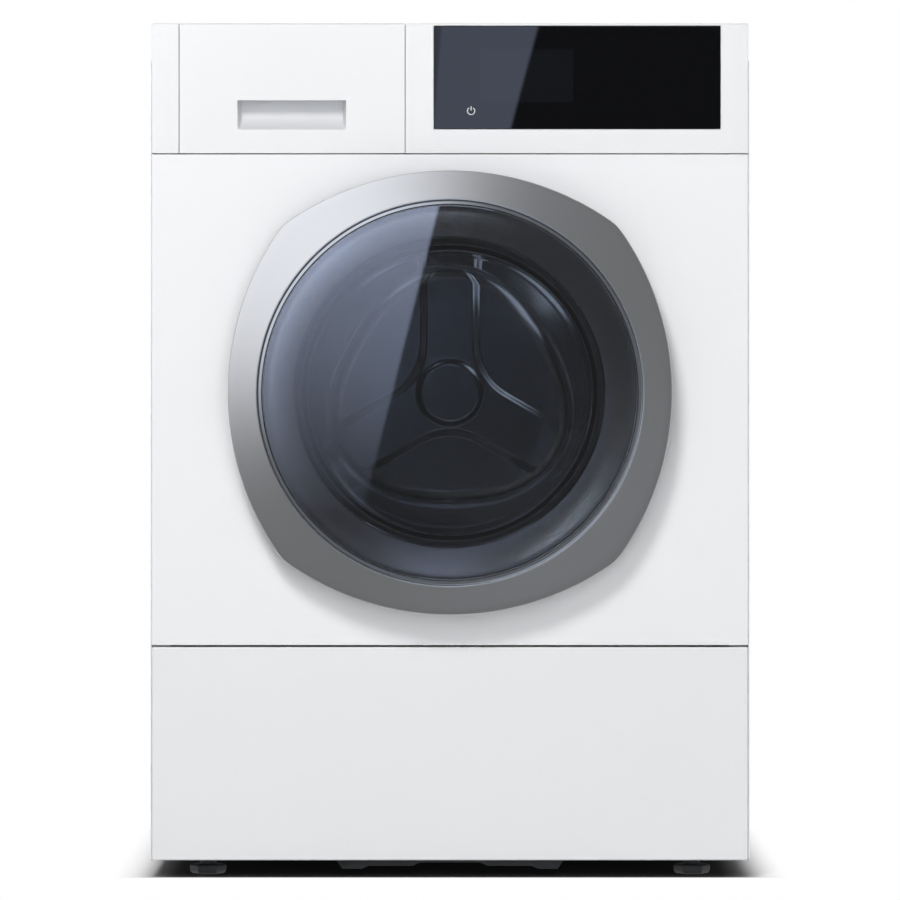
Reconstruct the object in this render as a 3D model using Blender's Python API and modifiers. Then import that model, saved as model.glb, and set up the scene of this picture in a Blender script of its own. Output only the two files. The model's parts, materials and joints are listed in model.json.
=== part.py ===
"""A front-loading washing machine, built from its real pieces.

Metres, +Z up. The front faces -Y, the floor is z = 0, and the drum turns about a line along Y.
"""
import math

import bmesh
import bpy
from mathutils import Matrix, Vector

# Cabinet
CABINET_WIDTH = 0.596
CABINET_HEIGHT = 0.850
CABINET_DEPTH = 0.585
DOOR_PROUD = 0.040
REAR_PROUD = 0.015
PLINTH_Z = 0.0176
FLAP_HEIGHT = 0.2129
FLAP_WALL = 0.003
FASCIA_HEIGHT = 0.1295
SHEET = 0.0012
COVER_RETURN = 0.012
FLANGE = 0.020
SKIN_SETBACK = 0.0015
TOP_EDGE_RADIUS = 0.004

# Fits
GAP = 0.0003
SEAM = 0.001
OVERRUN = 0.010
WELD = 0.000001
BIG_SIDES = 36
MID_SIDES = 24
SMALL_SIDES = 12
DOOR_STEPS = 56

# Worktop
WORKTOP_THICKNESS = 0.037
WORKTOP_INSET = 0.001
WORKTOP_BOARD = 0.018
WORKTOP_SKIRT = 0.004
WORKTOP_CORNER = 0.006

# Control strip, its glass and its board
FASCIA_DEPTH = 0.034
FASCIA_WALL = 0.003
FASCIA_FRONT = 0.006
GLASS_LEFT = -0.0163
GLASS_WIDTH = 0.2855
GLASS_HEIGHT = 0.103
GLASS_TOP_MARGIN = 0.0026
GLASS_THICKNESS = 0.003
GLASS_LEDGE = 0.006
BOARD_MARGIN = 0.010
BOARD_THICKNESS = 0.0016
DISPLAY_LEFT = 0.0299
DISPLAY_WIDTH = 0.0925
DISPLAY_HEIGHT = 0.0525
DISPLAY_TOP_MARGIN = 0.026
DISPLAY_STANDOFF = 0.0015
DISPLAY_BODY = 0.009

# Detergent drawer
DRAWER_LEFT = -0.2696
DRAWER_WIDTH = 0.2253
DRAWER_FRONT_DEPTH = 0.018
DRAWER_TRAVEL = 0.200
SCOOP_LEFT = -0.2119
SCOOP_WIDTH = 0.1091
SCOOP_HEIGHT = 0.030
SCOOP_RISE = 0.023
SCOOP_DEPTH = 0.013
SCOOP_LIP = 0.002
TRAY_SIDE_MARGIN = 0.0135
TRAY_WALL = 0.002
TRAY_LENGTH = 0.215
TRAY_HEIGHT = 0.068
TRAY_CORNER = 0.012
TRAY_RISE = 0.0275
TRAY_SHARES = (0.0, 0.42, 0.74, 1.0)
HOUSING_WALL = 0.0022
HOUSING_HEADROOM = 0.008
HOUSING_BACK_ROOM = 0.006
HOUSING_OUTLET_RADIUS = 0.018
HOUSING_OUTLET_DROP = 0.020
FILL_X = -0.200
FILL_SETBACK = 0.0233
FILL_NECK_HEIGHT = 0.028
BELLOWS_RIBS = 4
BELLOWS_RIB = 0.005
BELLOWS_WALL = 0.002

# Base frame and feet
BASE_HEIGHT = 0.045
BASE_FLOOR = 0.003
BASE_WALL = 0.003
BASE_WINDOW_WIDTH = 0.220
BASE_WINDOW_FRONT_ROOM = 0.190
BASE_WINDOW_REAR_ROOM = 0.095
BASE_WINDOW_CORNER = 0.030
LUG_BAR_HALF = 0.081
LUG_OUTER_HALF = 0.1145
LUG_BAR_DROP = 0.0066
LUG_DROP = 0.0096
LUG_DEPTH = 0.022
LUG_SETBACK = 0.001
LUG_SLOPE = 0.007
LUG_RECESS_HALF = 0.030
FOOT_SIDE_ROOM = 0.055
FOOT_INSET = 0.046
FOOT_RADIUS = 0.0185
FOOT_PAD = 0.0125
FOOT_NUT_RADIUS = 0.010
FOOT_NUT = 0.0033
STUD_RADIUS = 0.005
STUD_TOP = 0.052
FOOT_BOSS_RADIUS = 0.016
FOOT_BOSS_HEIGHT = 0.024

# Front panel and door mouth
DOOR_Z = 0.4825
MOUTH_RADIUS = 0.164
COLLAR_RADIUS = 0.157
COLLAR_DEPTH = 0.018

# Door
RING_ARC_RADIUS = 0.2802
RING_ARC_OFFSET = 0.0605
RING_CORNER_RADIUS = 0.045
RING_INNER_RADIUS = 0.1909
RING_GLASS_RADIUS = 0.1862
RING_CHAMFER = 0.003
RING_TILT_SHARE = 0.268
RING_EDGE = 0.004
RING_WALL = 0.0025
DOOR_BACK_GAP = 0.009
DOOR_GLASS_THICKNESS = 0.004
DOOR_GLASS_DOME = 0.0012
FRAME_MOUTH_RADIUS = 0.1535
FRAME_WALL = 0.0025
FRAME_BAND_RADIUS = 0.184
FRAME_BAND_DEPTH = 0.012
GRIP_DEPTH = 0.013
GRIP_SCALLOP = 0.010
GRIP_HALF_DEG = 22.0
GRIP_FLAT_DEG = 14.0
GRIP_SHELF_RADIUS = 0.188
GRIP_SHELF_SLOPE = 0.003
BOWL_RADIUS = 0.146
BOWL_WALL = 0.004
BOWL_FLANGE = 0.003
BOWL_DEPTH = 0.065
BOWL_NECK_RADIUS = 0.1435
BOWL_TIP_RADIUS = 0.1215
BOWL_LOBE = 0.008
BOWL_EDGE = 0.016
BOWL_SEAT = 0.0110

# Door hinge, which leaves the door's edge free to swing past the panel
HINGE_X = -0.205
HINGE_STANDOFF = 0.023
HINGE_PIN_RADIUS = 0.003
HINGE_EYE_RADIUS = 0.007
HINGE_NECK_REACH = 0.020
HINGE_NECK_THICKNESS = 0.005
HINGE_NECK_HALF = 0.0195
HINGE_LEAF_START = 0.012
HINGE_LEAF_LENGTH = 0.036
HINGE_LEAF_HALF = 0.034
HINGE_LEAF_THICKNESS = 0.003
HINGE_LUG = 0.006
HINGE_ARM_PLATE = 0.003
HINGE_ARM_START = 0.025
HINGE_ARM_END = 0.043
HINGE_CLEAR = 0.0025
HINGE_NOTCH_DEPTH = 0.0145

# Latch and lock
LATCH_X = 0.1775
LATCH_THICKNESS = 0.005
LATCH_HALF = 0.007
LATCH_PIVOT_RADIUS = 0.0035
LATCH_PIVOT_AHEAD = 0.0065
LATCH_REACH = 0.018
LATCH_BARB = 0.004
LATCH_BARB_LENGTH = 0.006
LATCH_ROOM = 0.007
LATCH_LUG = 0.004
LOCK_HALF_HEIGHT = 0.032
LOCK_SIDE = 0.012
LOCK_DEPTH = 0.026
LOCK_SLOT_HALF = 0.011

# Door seal
SEAL_LIP_RADIUS = 0.1475
SEAL_WALL = 0.0025
SEAL_FOLD_RADIUS = 0.1755
SEAL_FOLD_START = 0.028
SEAL_FOLD = 0.010

# Tub
TUB_FRONT = 0.075
TUB_REAR_ROOM = 0.120
TUB_SIDE_ROOM = 0.050
TUB_WALL = 0.0025
TUB_MOUTH_RADIUS = 0.170
TUB_NECK = 0.017
TUB_JOINT = 0.225
TUB_FLANGE = 0.012
TUB_FLANGE_THICKNESS = 0.008
HUB_RADIUS = 0.045
HUB_LENGTH = 0.042
SLEEVE_RADIUS = 0.031
TUB_RIBS = 12
TUB_RIB_THICKNESS = 0.003
TUB_RIB_HEIGHT = 0.018
TUB_FLOAT = 0.008
SUMP_HALF = 0.070
SUMP_LENGTH = 0.190
SUMP_Z = 0.209
SUMP_WALL = 0.003
SUMP_OUTLET_X = 0.045
SUMP_OUTLET_SETBACK = 0.095
SUMP_OUTLET_DROP = 0.010
HOSE_RADIUS = 0.016
HOSE_BORE = 0.013
HEATER_RADIUS = 0.004
HEATER_HALF = 0.028
HEATER_Z = 0.2255
HEATER_LENGTH = 0.150
HEATER_FLANGE_HALF = 0.038
HEATER_FLANGE_HEIGHT = 0.018
HEATER_FLANGE_THICKNESS = 0.0025
COUNTERWEIGHT_THICKNESS = 0.038
COUNTERWEIGHT_INNER = 0.180
COUNTERWEIGHT_MARGIN = 0.003
COUNTERWEIGHT_START_DEG = 25.0
COUNTERWEIGHT_STEPS = 16

# Suspension
SPRING_SIDE_ROOM = 0.073
SPRING_SETBACK = 0.030
SPRING_WIRE = 0.0022
SPRING_COIL = 0.011
SPRING_TURNS = 7
SPRING_TURN_POINTS = 8
SPRING_LUG_Z = 0.664
SPRING_LUG_DEPTH = 0.014
SPRING_LUG_WIDTH = 0.026
CROSSBAR_HEIGHT = 0.020
CROSSBAR_DEPTH = 0.030
DAMPER_X = 0.170
DAMPER_LEAD = 0.020
DAMPER_RADIUS = 0.015
DAMPER_LENGTH = 0.135
DAMPER_BORE_DEPTH = 0.100
DAMPER_ROD_RADIUS = 0.006
DAMPER_EYE = 0.012
DAMPER_LUG_DEPTH = 0.016
DAMPER_LUG_Z = 0.268

# Drum
DRUM_ROOM = 0.013
DRUM_FRONT_ROOM = 0.012
DRUM_BACK_ROOM = 0.032
DRUM_SHEET = 0.0012
DRUM_MOUTH_RADIUS = 0.176
DRUM_LIP = 0.008
DRUM_CORNER = 0.014
STAR_WIDTH = 0.056
STAR_FILLET = 0.065
STAR_REACH = 0.206
STAR_RISE = 0.008
STAR_ARMS = 3
STAR_HUB_RADIUS = 0.033
STAR_HUB_RISE = 0.003
LIFTER_BASE = 0.070
LIFTER_TOP = 0.022
LIFTER_HEIGHT = 0.046
LIFTER_END = 0.010
SPIDER_ARM = 0.030
SPIDER_DEPTH = 0.020
SPIDER_MARGIN = 0.013
SPIDER_HUB_RADIUS = 0.036
SHAFT_RADIUS = 0.0125
PULLEY_RADIUS = 0.140
PULLEY_WIDTH = 0.020
PULLEY_RIM = 0.006
PULLEY_WEB = 0.004
PULLEY_HUB_RADIUS = 0.028
PULLEY_HOLE_RADIUS = 0.030
PULLEY_HOLE_CIRCLE = 0.083
PULLEY_HOLES = 6
PULLEY_ROOM = 0.012
SHAFT_NUT_RADIUS = 0.019
SHAFT_NUT = 0.006

# Motor and belt
MOTOR_X = 0.090
MOTOR_Z = 0.140
MOTOR_RADIUS = 0.058
MOTOR_LENGTH = 0.140
MOTOR_NOSE = 0.010
MOTOR_REAR_ROOM = 0.040
MOTOR_SHAFT_RADIUS = 0.006
MOTOR_SHAFT_DEPTH = 0.018
MOTOR_PULLEY_RADIUS = 0.0115
MOTOR_PULLEY_MARGIN = 0.001
MOTOR_LUG_HALF = 0.022
MOTOR_LUG_THICKNESS = 0.020
MOTOR_PAD_Z = 0.222
BELT_WIDTH = 0.015
BELT_THICKNESS = 0.003

# Drain pump and its filter cap
PUMP_X = 0.192
PUMP_Z = 0.075
PUMP_RADIUS = 0.033
PUMP_FRONT_ROOM = 0.042
PUMP_LENGTH = 0.085
PUMP_MOTOR_RADIUS = 0.026
PUMP_MOTOR_LENGTH = 0.040
PUMP_FOOT_HALF = 0.020
PUMP_INLET_DROP = 0.030
PUMP_INLET_TOP = 0.126
SUMP_HOSE_BEND_SHARE = 0.8
HOSE_LEAD_SHARE = 0.2
CAP_RADIUS = 0.036
CAP_THICKNESS = 0.007
CAP_GRIP_HEIGHT = 0.012
CAP_GRIP_THICKNESS = 0.009
CAP_GRIP_LENGTH = 0.054
CAP_PLUG_RADIUS = 0.026
CAP_PLUG_LENGTH = 0.020

# Rear panel fittings
REAR_RETURN = 0.012
ACCESS_HALF_WIDTH = 0.170
ACCESS_BOTTOM = 0.085
ACCESS_DROP = 0.1577
ACCESS_CORNER = 0.060
COVER_OVERLAP = 0.018
COVER_RISE = 0.010
LOUVRES = 5
LOUVRE_LENGTH = 0.120
LOUVRE_HEIGHT = 0.006
LOUVRE_PITCH = 0.016
LOUVRE_Z = 0.180
VALVE_X = -0.180
VALVE_DROP = 0.0477
VALVE_RADIUS = 0.0132
VALVE_BORE = 0.009
VALVE_FLANGE = 0.020
VALVE_FLANGE_THICKNESS = 0.003
VALVE_BODY = 0.030
VALVE_NIPPLE_RADIUS = 0.007
VALVE_NIPPLE = 0.014
SPIGOT_X = 0.215
SPIGOT_DROP = 0.1127
SPIGOT_RADIUS = 0.0115
SPIGOT_FLANGE = 0.018
SPIGOT_FLANGE_THICKNESS = 0.003
SPIGOT_INNER_LENGTH = 0.020
GLAND_X = 0.215
GLAND_DROP = 0.0477
GLAND_RADIUS = 0.009
GLAND_HEAD_RADIUS = 0.013
GLAND_HEAD = 0.010
GLAND_BORE = 0.0042

# Planes worked out from the sizes above
FACE_Y = (DOOR_PROUD - CABINET_DEPTH - REAR_PROUD) / 2
FRONT_Y = FACE_Y - DOOR_PROUD
BACK_Y = FACE_Y + CABINET_DEPTH
HALF_WIDTH = CABINET_WIDTH / 2
FOOT_X = HALF_WIDTH - FOOT_SIDE_ROOM
SPRING_X = HALF_WIDTH - SPRING_SIDE_ROOM
TUB_RADIUS = HALF_WIDTH - TUB_SIDE_ROOM
DRUM_RADIUS = TUB_RADIUS - DRUM_ROOM
COUNTERWEIGHT_OUTER = TUB_RADIUS - COUNTERWEIGHT_MARGIN
SPIDER_REACH = DRUM_RADIUS - SPIDER_MARGIN
COVER_HALF = HALF_WIDTH - SHEET - GAP
FLAP_TOP = PLINTH_Z + FLAP_HEIGHT
FASCIA_BOTTOM = CABINET_HEIGHT - FASCIA_HEIGHT
SIDE_TOP = CABINET_HEIGHT - WORKTOP_THICKNESS - GAP
VALVE_Z = SIDE_TOP - VALVE_DROP
SPIGOT_Z = SIDE_TOP - SPIGOT_DROP
GLAND_Z = SIDE_TOP - GLAND_DROP
ACCESS_TOP = SIDE_TOP - ACCESS_DROP
SIDE_FRONT_Y = FACE_Y + COVER_RETURN + GAP
INNER_FRONT_Y = SIDE_FRONT_Y + SHEET + GAP
INNER_REAR_Y = BACK_Y - REAR_RETURN - GAP - SHEET - GAP
FASCIA_BACK_Y = FACE_Y + FASCIA_DEPTH
PANEL_INNER_Y = FACE_Y + SHEET
DOOR_BACK_Y = FACE_Y - DOOR_BACK_GAP
HINGE_Y = FACE_Y - HINGE_STANDOFF
TUB_FRONT_Y = FACE_Y + TUB_FRONT
TUB_BACK_Y = BACK_Y - TUB_REAR_ROOM
TUB_JOINT_Y = TUB_FRONT_Y + TUB_JOINT
SPRING_Y = TUB_JOINT_Y + SPRING_SETBACK
DAMPER_Y = TUB_JOINT_Y - DAMPER_LEAD
SUMP_OUTLET_Y = TUB_FRONT_Y + SUMP_OUTLET_SETBACK
BASE_WINDOW_FRONT = FACE_Y + BASE_WINDOW_FRONT_ROOM
BASE_WINDOW_BACK = BACK_Y - BASE_WINDOW_REAR_ROOM
TUB_OUTER = TUB_RADIUS + TUB_WALL
HUB_BACK_Y = TUB_BACK_Y + HUB_LENGTH
DRUM_FRONT_Y = TUB_FRONT_Y + TUB_WALL + DRUM_FRONT_ROOM
DRUM_BACK_Y = TUB_BACK_Y - TUB_WALL - DRUM_BACK_ROOM
PULLEY_FRONT_Y = HUB_BACK_Y + PULLEY_ROOM
PULLEY_MID_Y = PULLEY_FRONT_Y + PULLEY_WIDTH / 2
TRAY_LEFT = DRAWER_LEFT + TRAY_SIDE_MARGIN
TRAY_RIGHT = DRAWER_LEFT + DRAWER_WIDTH - TRAY_SIDE_MARGIN
TRAY_FRONT_Y = FACE_Y + DRAWER_FRONT_DEPTH + GAP
TRAY_BACK_Y = TRAY_FRONT_Y + TRAY_LENGTH
FILL_Y = TRAY_BACK_Y - FILL_SETBACK
TRAY_FLOOR_Z = FASCIA_BOTTOM + TRAY_RISE
TRAY_TOP_Z = TRAY_FLOOR_Z + TRAY_HEIGHT
BASE_TOP_FLOOR = PLINTH_Z + BASE_FLOOR
SPRING_TOP_Z = SIDE_TOP - CROSSBAR_HEIGHT - GAP

WHITE = ("white_enamel", (0.86, 0.865, 0.88), 0.35, 0.0)
SATIN = ("satin_metal", (0.62, 0.63, 0.65), 0.32, 1.0)
STEEL = ("bright_steel", (0.60, 0.60, 0.61), 0.25, 1.0)
ZINC = ("zinc_sheet", (0.55, 0.56, 0.57), 0.45, 1.0)
TINTED = ("tinted_glass", (0.05, 0.055, 0.065), 0.05, 0.0)
CLEAR = ("bowl_glass", (0.35, 0.38, 0.40), 0.04, 0.0)
DARK = ("dark_plastic", (0.06, 0.063, 0.07), 0.40, 0.0)
GREY = ("grey_plastic", (0.45, 0.46, 0.48), 0.50, 0.0)
PALE = ("pale_plastic", (0.80, 0.80, 0.79), 0.50, 0.0)
RUBBER = ("grey_rubber", (0.20, 0.20, 0.21), 0.80, 0.0)
BLACK = ("black_rubber", (0.02, 0.02, 0.02), 0.75, 0.0)
CONCRETE = ("concrete", (0.48, 0.47, 0.45), 0.90, 0.0)
ALLOY = ("cast_alloy", (0.58, 0.58, 0.59), 0.55, 1.0)
BOARD = ("circuit_board", (0.05, 0.22, 0.10), 0.60, 0.0)


def clear_scene():
    for item in list(bpy.data.objects):
        bpy.data.objects.remove(item, do_unlink=True)


def new_group(name):
    group = bpy.data.collections.new(name)
    bpy.context.scene.collection.children.link(group)
    return group


def finish_of(finish):
    name, color, roughness, metallic = finish
    material = bpy.data.materials.get(name)
    if material is None:
        material = bpy.data.materials.new(name)
        material.use_nodes = True
        shader = material.node_tree.nodes["Principled BSDF"]
        shader.inputs["Base Color"].default_value = (*color, 1.0)
        shader.inputs["Roughness"].default_value = roughness
        shader.inputs["Metallic"].default_value = metallic
    return material


def add_piece(name, mesh, finish):
    """A sub-part of the machine, in its collection and with its finish."""
    piece = bpy.data.objects.new(name, mesh)
    machine.objects.link(piece)
    mesh.materials.clear()
    mesh.materials.append(finish_of(finish))
    return piece


def add_tool(mesh):
    """A shape that only cuts or joins another."""
    tool = bpy.data.objects.new("tool", mesh)
    tools.objects.link(tool)
    tool.hide_render = True
    tool.display_type = "WIRE"
    return tool


def combine(piece, mesh, operation, location=(0, 0, 0)):
    tool = add_tool(mesh)
    tool.location = location
    step = piece.modifiers.new(operation.lower(), "BOOLEAN")
    step.operation = operation
    step.object = tool
    step.solver = "EXACT"
    return tool


def cut(piece, mesh, location=(0, 0, 0)):
    return combine(piece, mesh, "DIFFERENCE", location)


def join(piece, mesh, location=(0, 0, 0)):
    return combine(piece, mesh, "UNION", location)


def box(low, high):
    """Mesh of a block between two corners."""
    shape = bmesh.new()
    bmesh.ops.create_cube(shape, size=1)
    size = [b - a for a, b in zip(low, high)]
    middle = [(a + b) / 2 for a, b in zip(low, high)]
    bmesh.ops.scale(shape, vec=size, verts=shape.verts)
    bmesh.ops.translate(shape, vec=middle, verts=shape.verts)
    mesh = bpy.data.meshes.new("block")
    shape.to_mesh(mesh)
    shape.free()
    return mesh


def box_at(x, y, z):
    """Mesh of a block given its two ends along each axis."""
    return box((x[0], y[0], z[0]), (x[1], y[1], z[1]))


def arc(centre, radius, start, end, steps):
    """Points of an arc in its plane, angles in degrees."""
    points = []
    for step in range(steps + 1):
        turn = math.radians(start + (end - start) * step / steps)
        points.append((centre[0] + radius * math.cos(turn), centre[1] + radius * math.sin(turn)))
    return points


def circle(centre, radius, steps):
    return arc(centre, radius, 0, 360, steps)[:-1]


def rounded(left, bottom, right, top, radius, steps=4):
    """Outline of a rectangle with round corners."""
    corners = ((right - radius, top - radius, 0), (left + radius, top - radius, 90),
               (left + radius, bottom + radius, 180), (right - radius, bottom + radius, 270))
    points = []
    for x, y, start in corners:
        points += arc((x, y), radius, start, start + 90, steps)
    return points


AXIS_TURNS = {
    "X": Matrix(((0, 0, 1, 0), (1, 0, 0, 0), (0, 1, 0, 0), (0, 0, 0, 1))),
    "Y": Matrix(((1, 0, 0, 0), (0, 0, -1, 0), (0, 1, 0, 0), (0, 0, 0, 1))),
    "Z": Matrix.Identity(4),
}


def plate(outlines, axis, low, high):
    """Mesh of a flat outline, given across an axis, as thick as from low to high along it."""
    curve = bpy.data.curves.new("outline", "CURVE")
    curve.dimensions = "2D"
    curve.fill_mode = "BOTH"
    curve.extrude = (high - low) / 2
    for outline in outlines:
        line = curve.splines.new("POLY")
        line.points.add(len(outline) - 1)
        for point, (a, b) in zip(line.points, outline):
            point.co = (a, b, 0, 1)
        line.use_cyclic_u = True
    mesh = mesh_of_curve(curve)
    turn = AXIS_TURNS[axis]
    shift = turn.to_3x3() @ Vector((0, 0, 1))
    mesh.transform(Matrix.Translation(abs_vector(shift) * (low + high) / 2) @ turn)
    return mesh


def abs_vector(vector):
    return Vector([abs(part) for part in vector])


def mesh_of_curve(curve):
    """Closed mesh of a curve, with its caps welded on."""
    holder = bpy.data.objects.new("curve", curve)
    bpy.context.scene.collection.objects.link(holder)
    graph = bpy.context.evaluated_depsgraph_get()
    mesh = bpy.data.meshes.new_from_object(holder.evaluated_get(graph))
    bpy.data.objects.remove(holder, do_unlink=True)
    bpy.data.curves.remove(curve)
    shape = bmesh.new()
    shape.from_mesh(mesh)
    bmesh.ops.remove_doubles(shape, verts=shape.verts, dist=WELD)
    bmesh.ops.recalc_face_normals(shape, faces=shape.faces)
    shape.to_mesh(mesh)
    shape.free()
    return mesh


def tube_curve(points, radius, resolution=2):
    curve = bpy.data.curves.new("tube", "CURVE")
    curve.dimensions = "3D"
    curve.bevel_depth = radius
    curve.bevel_resolution = resolution
    curve.use_fill_caps = True
    line = curve.splines.new("POLY")
    line.points.add(len(points) - 1)
    for point, place in zip(line.points, points):
        point.co = (*place, 1)
    return curve


def profile_mesh(profile):
    """Closed outline of (radius, height) points, ordered so that its outer side runs downwards."""
    area = 0
    for (r0, h0), (r1, h1) in zip(profile, profile[1:] + profile[:1]):
        area += r0 * h1 - r1 * h0
    points = list(reversed(profile)) if area > 0 else list(profile)
    on_axis = [index for index, point in enumerate(points) if point[0] == 0]
    mesh = bpy.data.meshes.new("profile")
    edges = [(index, (index + 1) % len(points)) for index in range(len(points))]
    if len(on_axis) == 2:
        edges = [edge for edge in edges if not (edge[0] in on_axis and edge[1] in on_axis)]
    mesh.from_pydata([(r, 0, h) for r, h in points], edges, [])
    return mesh


def turned(name, profile, finish, centre, axis="Y", steps=BIG_SIDES):
    """Turned piece: (radius, place along the axis) points spun about a line through the centre."""
    piece = add_piece(name, profile_mesh(axis_profile(profile, axis)), finish)
    spin(piece, steps)
    piece.location = centre
    if axis == "Y":
        piece.rotation_euler = (math.radians(90), 0, 0)
    smooth(piece)
    return piece


def axis_profile(profile, axis):
    """A profile along Y is built along Z first, where the turn to Y flips its heights."""
    if axis == "Y":
        return [(radius, -place) for radius, place in profile]
    return profile


def spin(piece, steps):
    step = piece.modifiers.new("turn", "SCREW")
    step.steps = steps
    step.render_steps = steps
    step.use_merge_vertices = True
    step.merge_threshold = WELD


def smooth(piece):
    mesh = piece.data
    mesh.shade_smooth()


def turned_tool(profile, centre, axis="Y", steps=BIG_SIDES):
    """Mesh of a turned shape at its place, to cut or join with."""
    shape = bmesh.new()
    outline = profile_mesh(axis_profile(profile, axis))
    shape.from_mesh(outline)
    bpy.data.meshes.remove(outline)
    bmesh.ops.spin(shape, geom=shape.verts[:] + shape.edges[:], cent=(0, 0, 0), axis=(0, 0, 1),
                   angle=math.tau, steps=steps, use_merge=True)
    bmesh.ops.remove_doubles(shape, verts=shape.verts, dist=WELD)
    if axis == "Y":
        bmesh.ops.rotate(shape, verts=shape.verts, cent=(0, 0, 0),
                         matrix=Matrix.Rotation(math.radians(90), 3, "X"))
    bmesh.ops.translate(shape, vec=centre, verts=shape.verts)
    bmesh.ops.recalc_face_normals(shape, faces=shape.faces)
    mesh = bpy.data.meshes.new("turned_tool")
    shape.to_mesh(mesh)
    shape.free()
    return mesh


def rod(radius, low, high, centre, axis="Y", steps=SMALL_SIDES):
    """Mesh of a round bar along an axis."""
    return turned_tool([(0, low), (radius, low), (radius, high), (0, high)], centre, axis, steps)


def bore(radius, sides=SMALL_SIDES):
    """Radius of a hole with flat sides that clears a round piece of this radius."""
    return radius / math.cos(math.pi / sides) + GAP


def loft(name, rings, finish, closed_round=True, capped=False):
    """Skin over rings of points. Rings follow each other round a loop, or run between two caps."""
    shape = bmesh.new()
    rows = [[shape.verts.new(point) for point in ring] for ring in rings]
    pairs = list(zip(rows, rows[1:]))
    if closed_round:
        pairs.append((rows[-1], rows[0]))
    for row, after in pairs:
        for index in range(len(row)):
            follow = (index + 1) % len(row)
            shape.faces.new((row[index], row[follow], after[follow], after[index]))
    if capped:
        shape.faces.new(rows[0])
        shape.faces.new(rows[-1])
    bmesh.ops.recalc_face_normals(shape, faces=shape.faces)
    mesh = bpy.data.meshes.new(name)
    shape.to_mesh(mesh)
    shape.free()
    if finish is None:
        return mesh
    piece = add_piece(name, mesh, finish)
    smooth(piece)
    return piece


def carry(name, place, pieces):
    """Empty on a joint's axis that carries the pieces which move about it."""
    holder = bpy.data.objects.new(name, None)
    machine.objects.link(holder)
    holder.location = place
    for piece in pieces:
        piece.parent = holder
        piece.matrix_parent_inverse = Matrix.Translation(place).inverted()
    return holder


# Cabinet

def make_side_panel(name, side):
    """Sheet with a flange turned in behind the front covers and one ahead of the rear panel."""
    front, back = SIDE_FRONT_Y, BACK_Y - REAR_RETURN - GAP - SHEET
    outer, inner, turned_in = HALF_WIDTH, HALF_WIDTH - SHEET, HALF_WIDTH - FLANGE
    outline = [(outer, FACE_Y + SKIN_SETBACK), (outer, BACK_Y), (inner, BACK_Y),
               (inner, back + SHEET), (turned_in, back + SHEET), (turned_in, back), (inner, back),
               (inner, front + SHEET), (turned_in, front + SHEET), (turned_in, front), (inner, front),
               (inner, FACE_Y + SKIN_SETBACK)]
    outline = [(side * x, y) for x, y in outline]
    return add_piece(name, plate([outline], "Z", PLINTH_Z, SIDE_TOP), WHITE)


def make_worktop():
    half = HALF_WIDTH - WORKTOP_INSET
    front, back = FASCIA_BACK_Y + GAP, BACK_Y
    outline = rounded(-half, front, half, back, WORKTOP_CORNER)
    low, high = CABINET_HEIGHT - WORKTOP_THICKNESS, CABINET_HEIGHT
    worktop = add_piece("worktop", plate([outline], "Z", low, high), WHITE)
    room = half - WORKTOP_SKIRT
    cut(worktop, box_at((-room, room), (front - OVERRUN, back - WORKTOP_SKIRT),
                        (low - OVERRUN, high - WORKTOP_BOARD)))
    return worktop


def make_base_frame():
    """Moulded tray on four foot bosses, with the lugs that show under the front cover."""
    floor, top = PLINTH_Z, PLINTH_Z + BASE_HEIGHT
    back = INNER_REAR_Y
    base = add_piece("base_frame", box_at((-COVER_HALF, COVER_HALF), (INNER_FRONT_Y, back),
                                          (floor, top)), DARK)
    inner = COVER_HALF - BASE_WALL
    cut(base, box_at((-inner, inner), (INNER_FRONT_Y + BASE_WALL, back - BASE_WALL),
                     (floor + BASE_FLOOR, top + OVERRUN)))
    window = rounded(-BASE_WINDOW_WIDTH / 2, BASE_WINDOW_FRONT, BASE_WINDOW_WIDTH / 2,
                     BASE_WINDOW_BACK, BASE_WINDOW_CORNER)
    cut(base, plate([window], "Z", floor - OVERRUN, floor + BASE_FLOOR + OVERRUN))
    for x, y in foot_places():
        join(base, rod(FOOT_BOSS_RADIUS, floor + BASE_FLOOR / 2, floor + FOOT_BOSS_HEIGHT, (x, y, 0), "Z"))
        cut(base, rod(bore(STUD_RADIUS), floor - OVERRUN, floor + FOOT_BOSS_HEIGHT + OVERRUN,
                      (x, y, 0), "Z"))
    start = INNER_FRONT_Y + LUG_SETBACK
    join(base, plate([lug_outline()], "Y", start, start + LUG_DEPTH))
    return base


def lug_outline():
    """Front view of the base's lower edge: two deep lugs and a shallower bar with a recess."""
    top = PLINTH_Z + BASE_FLOOR / 2
    low, bar = PLINTH_Z - LUG_DROP, PLINTH_Z - LUG_BAR_DROP
    half = [(LUG_OUTER_HALF, top), (LUG_OUTER_HALF - LUG_SLOPE, low), (LUG_BAR_HALF + LUG_SLOPE, low),
            (LUG_BAR_HALF, bar), (LUG_RECESS_HALF + LUG_SLOPE, bar),
            (LUG_RECESS_HALF, PLINTH_Z - LUG_BAR_DROP / 2)]
    return half + [(-x, z) for x, z in reversed(half)]


def foot_places():
    front, back = INNER_FRONT_Y + FOOT_INSET, INNER_REAR_Y - FOOT_INSET
    return [(-FOOT_X, front), (FOOT_X, front), (-FOOT_X, back), (FOOT_X, back)]


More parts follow.
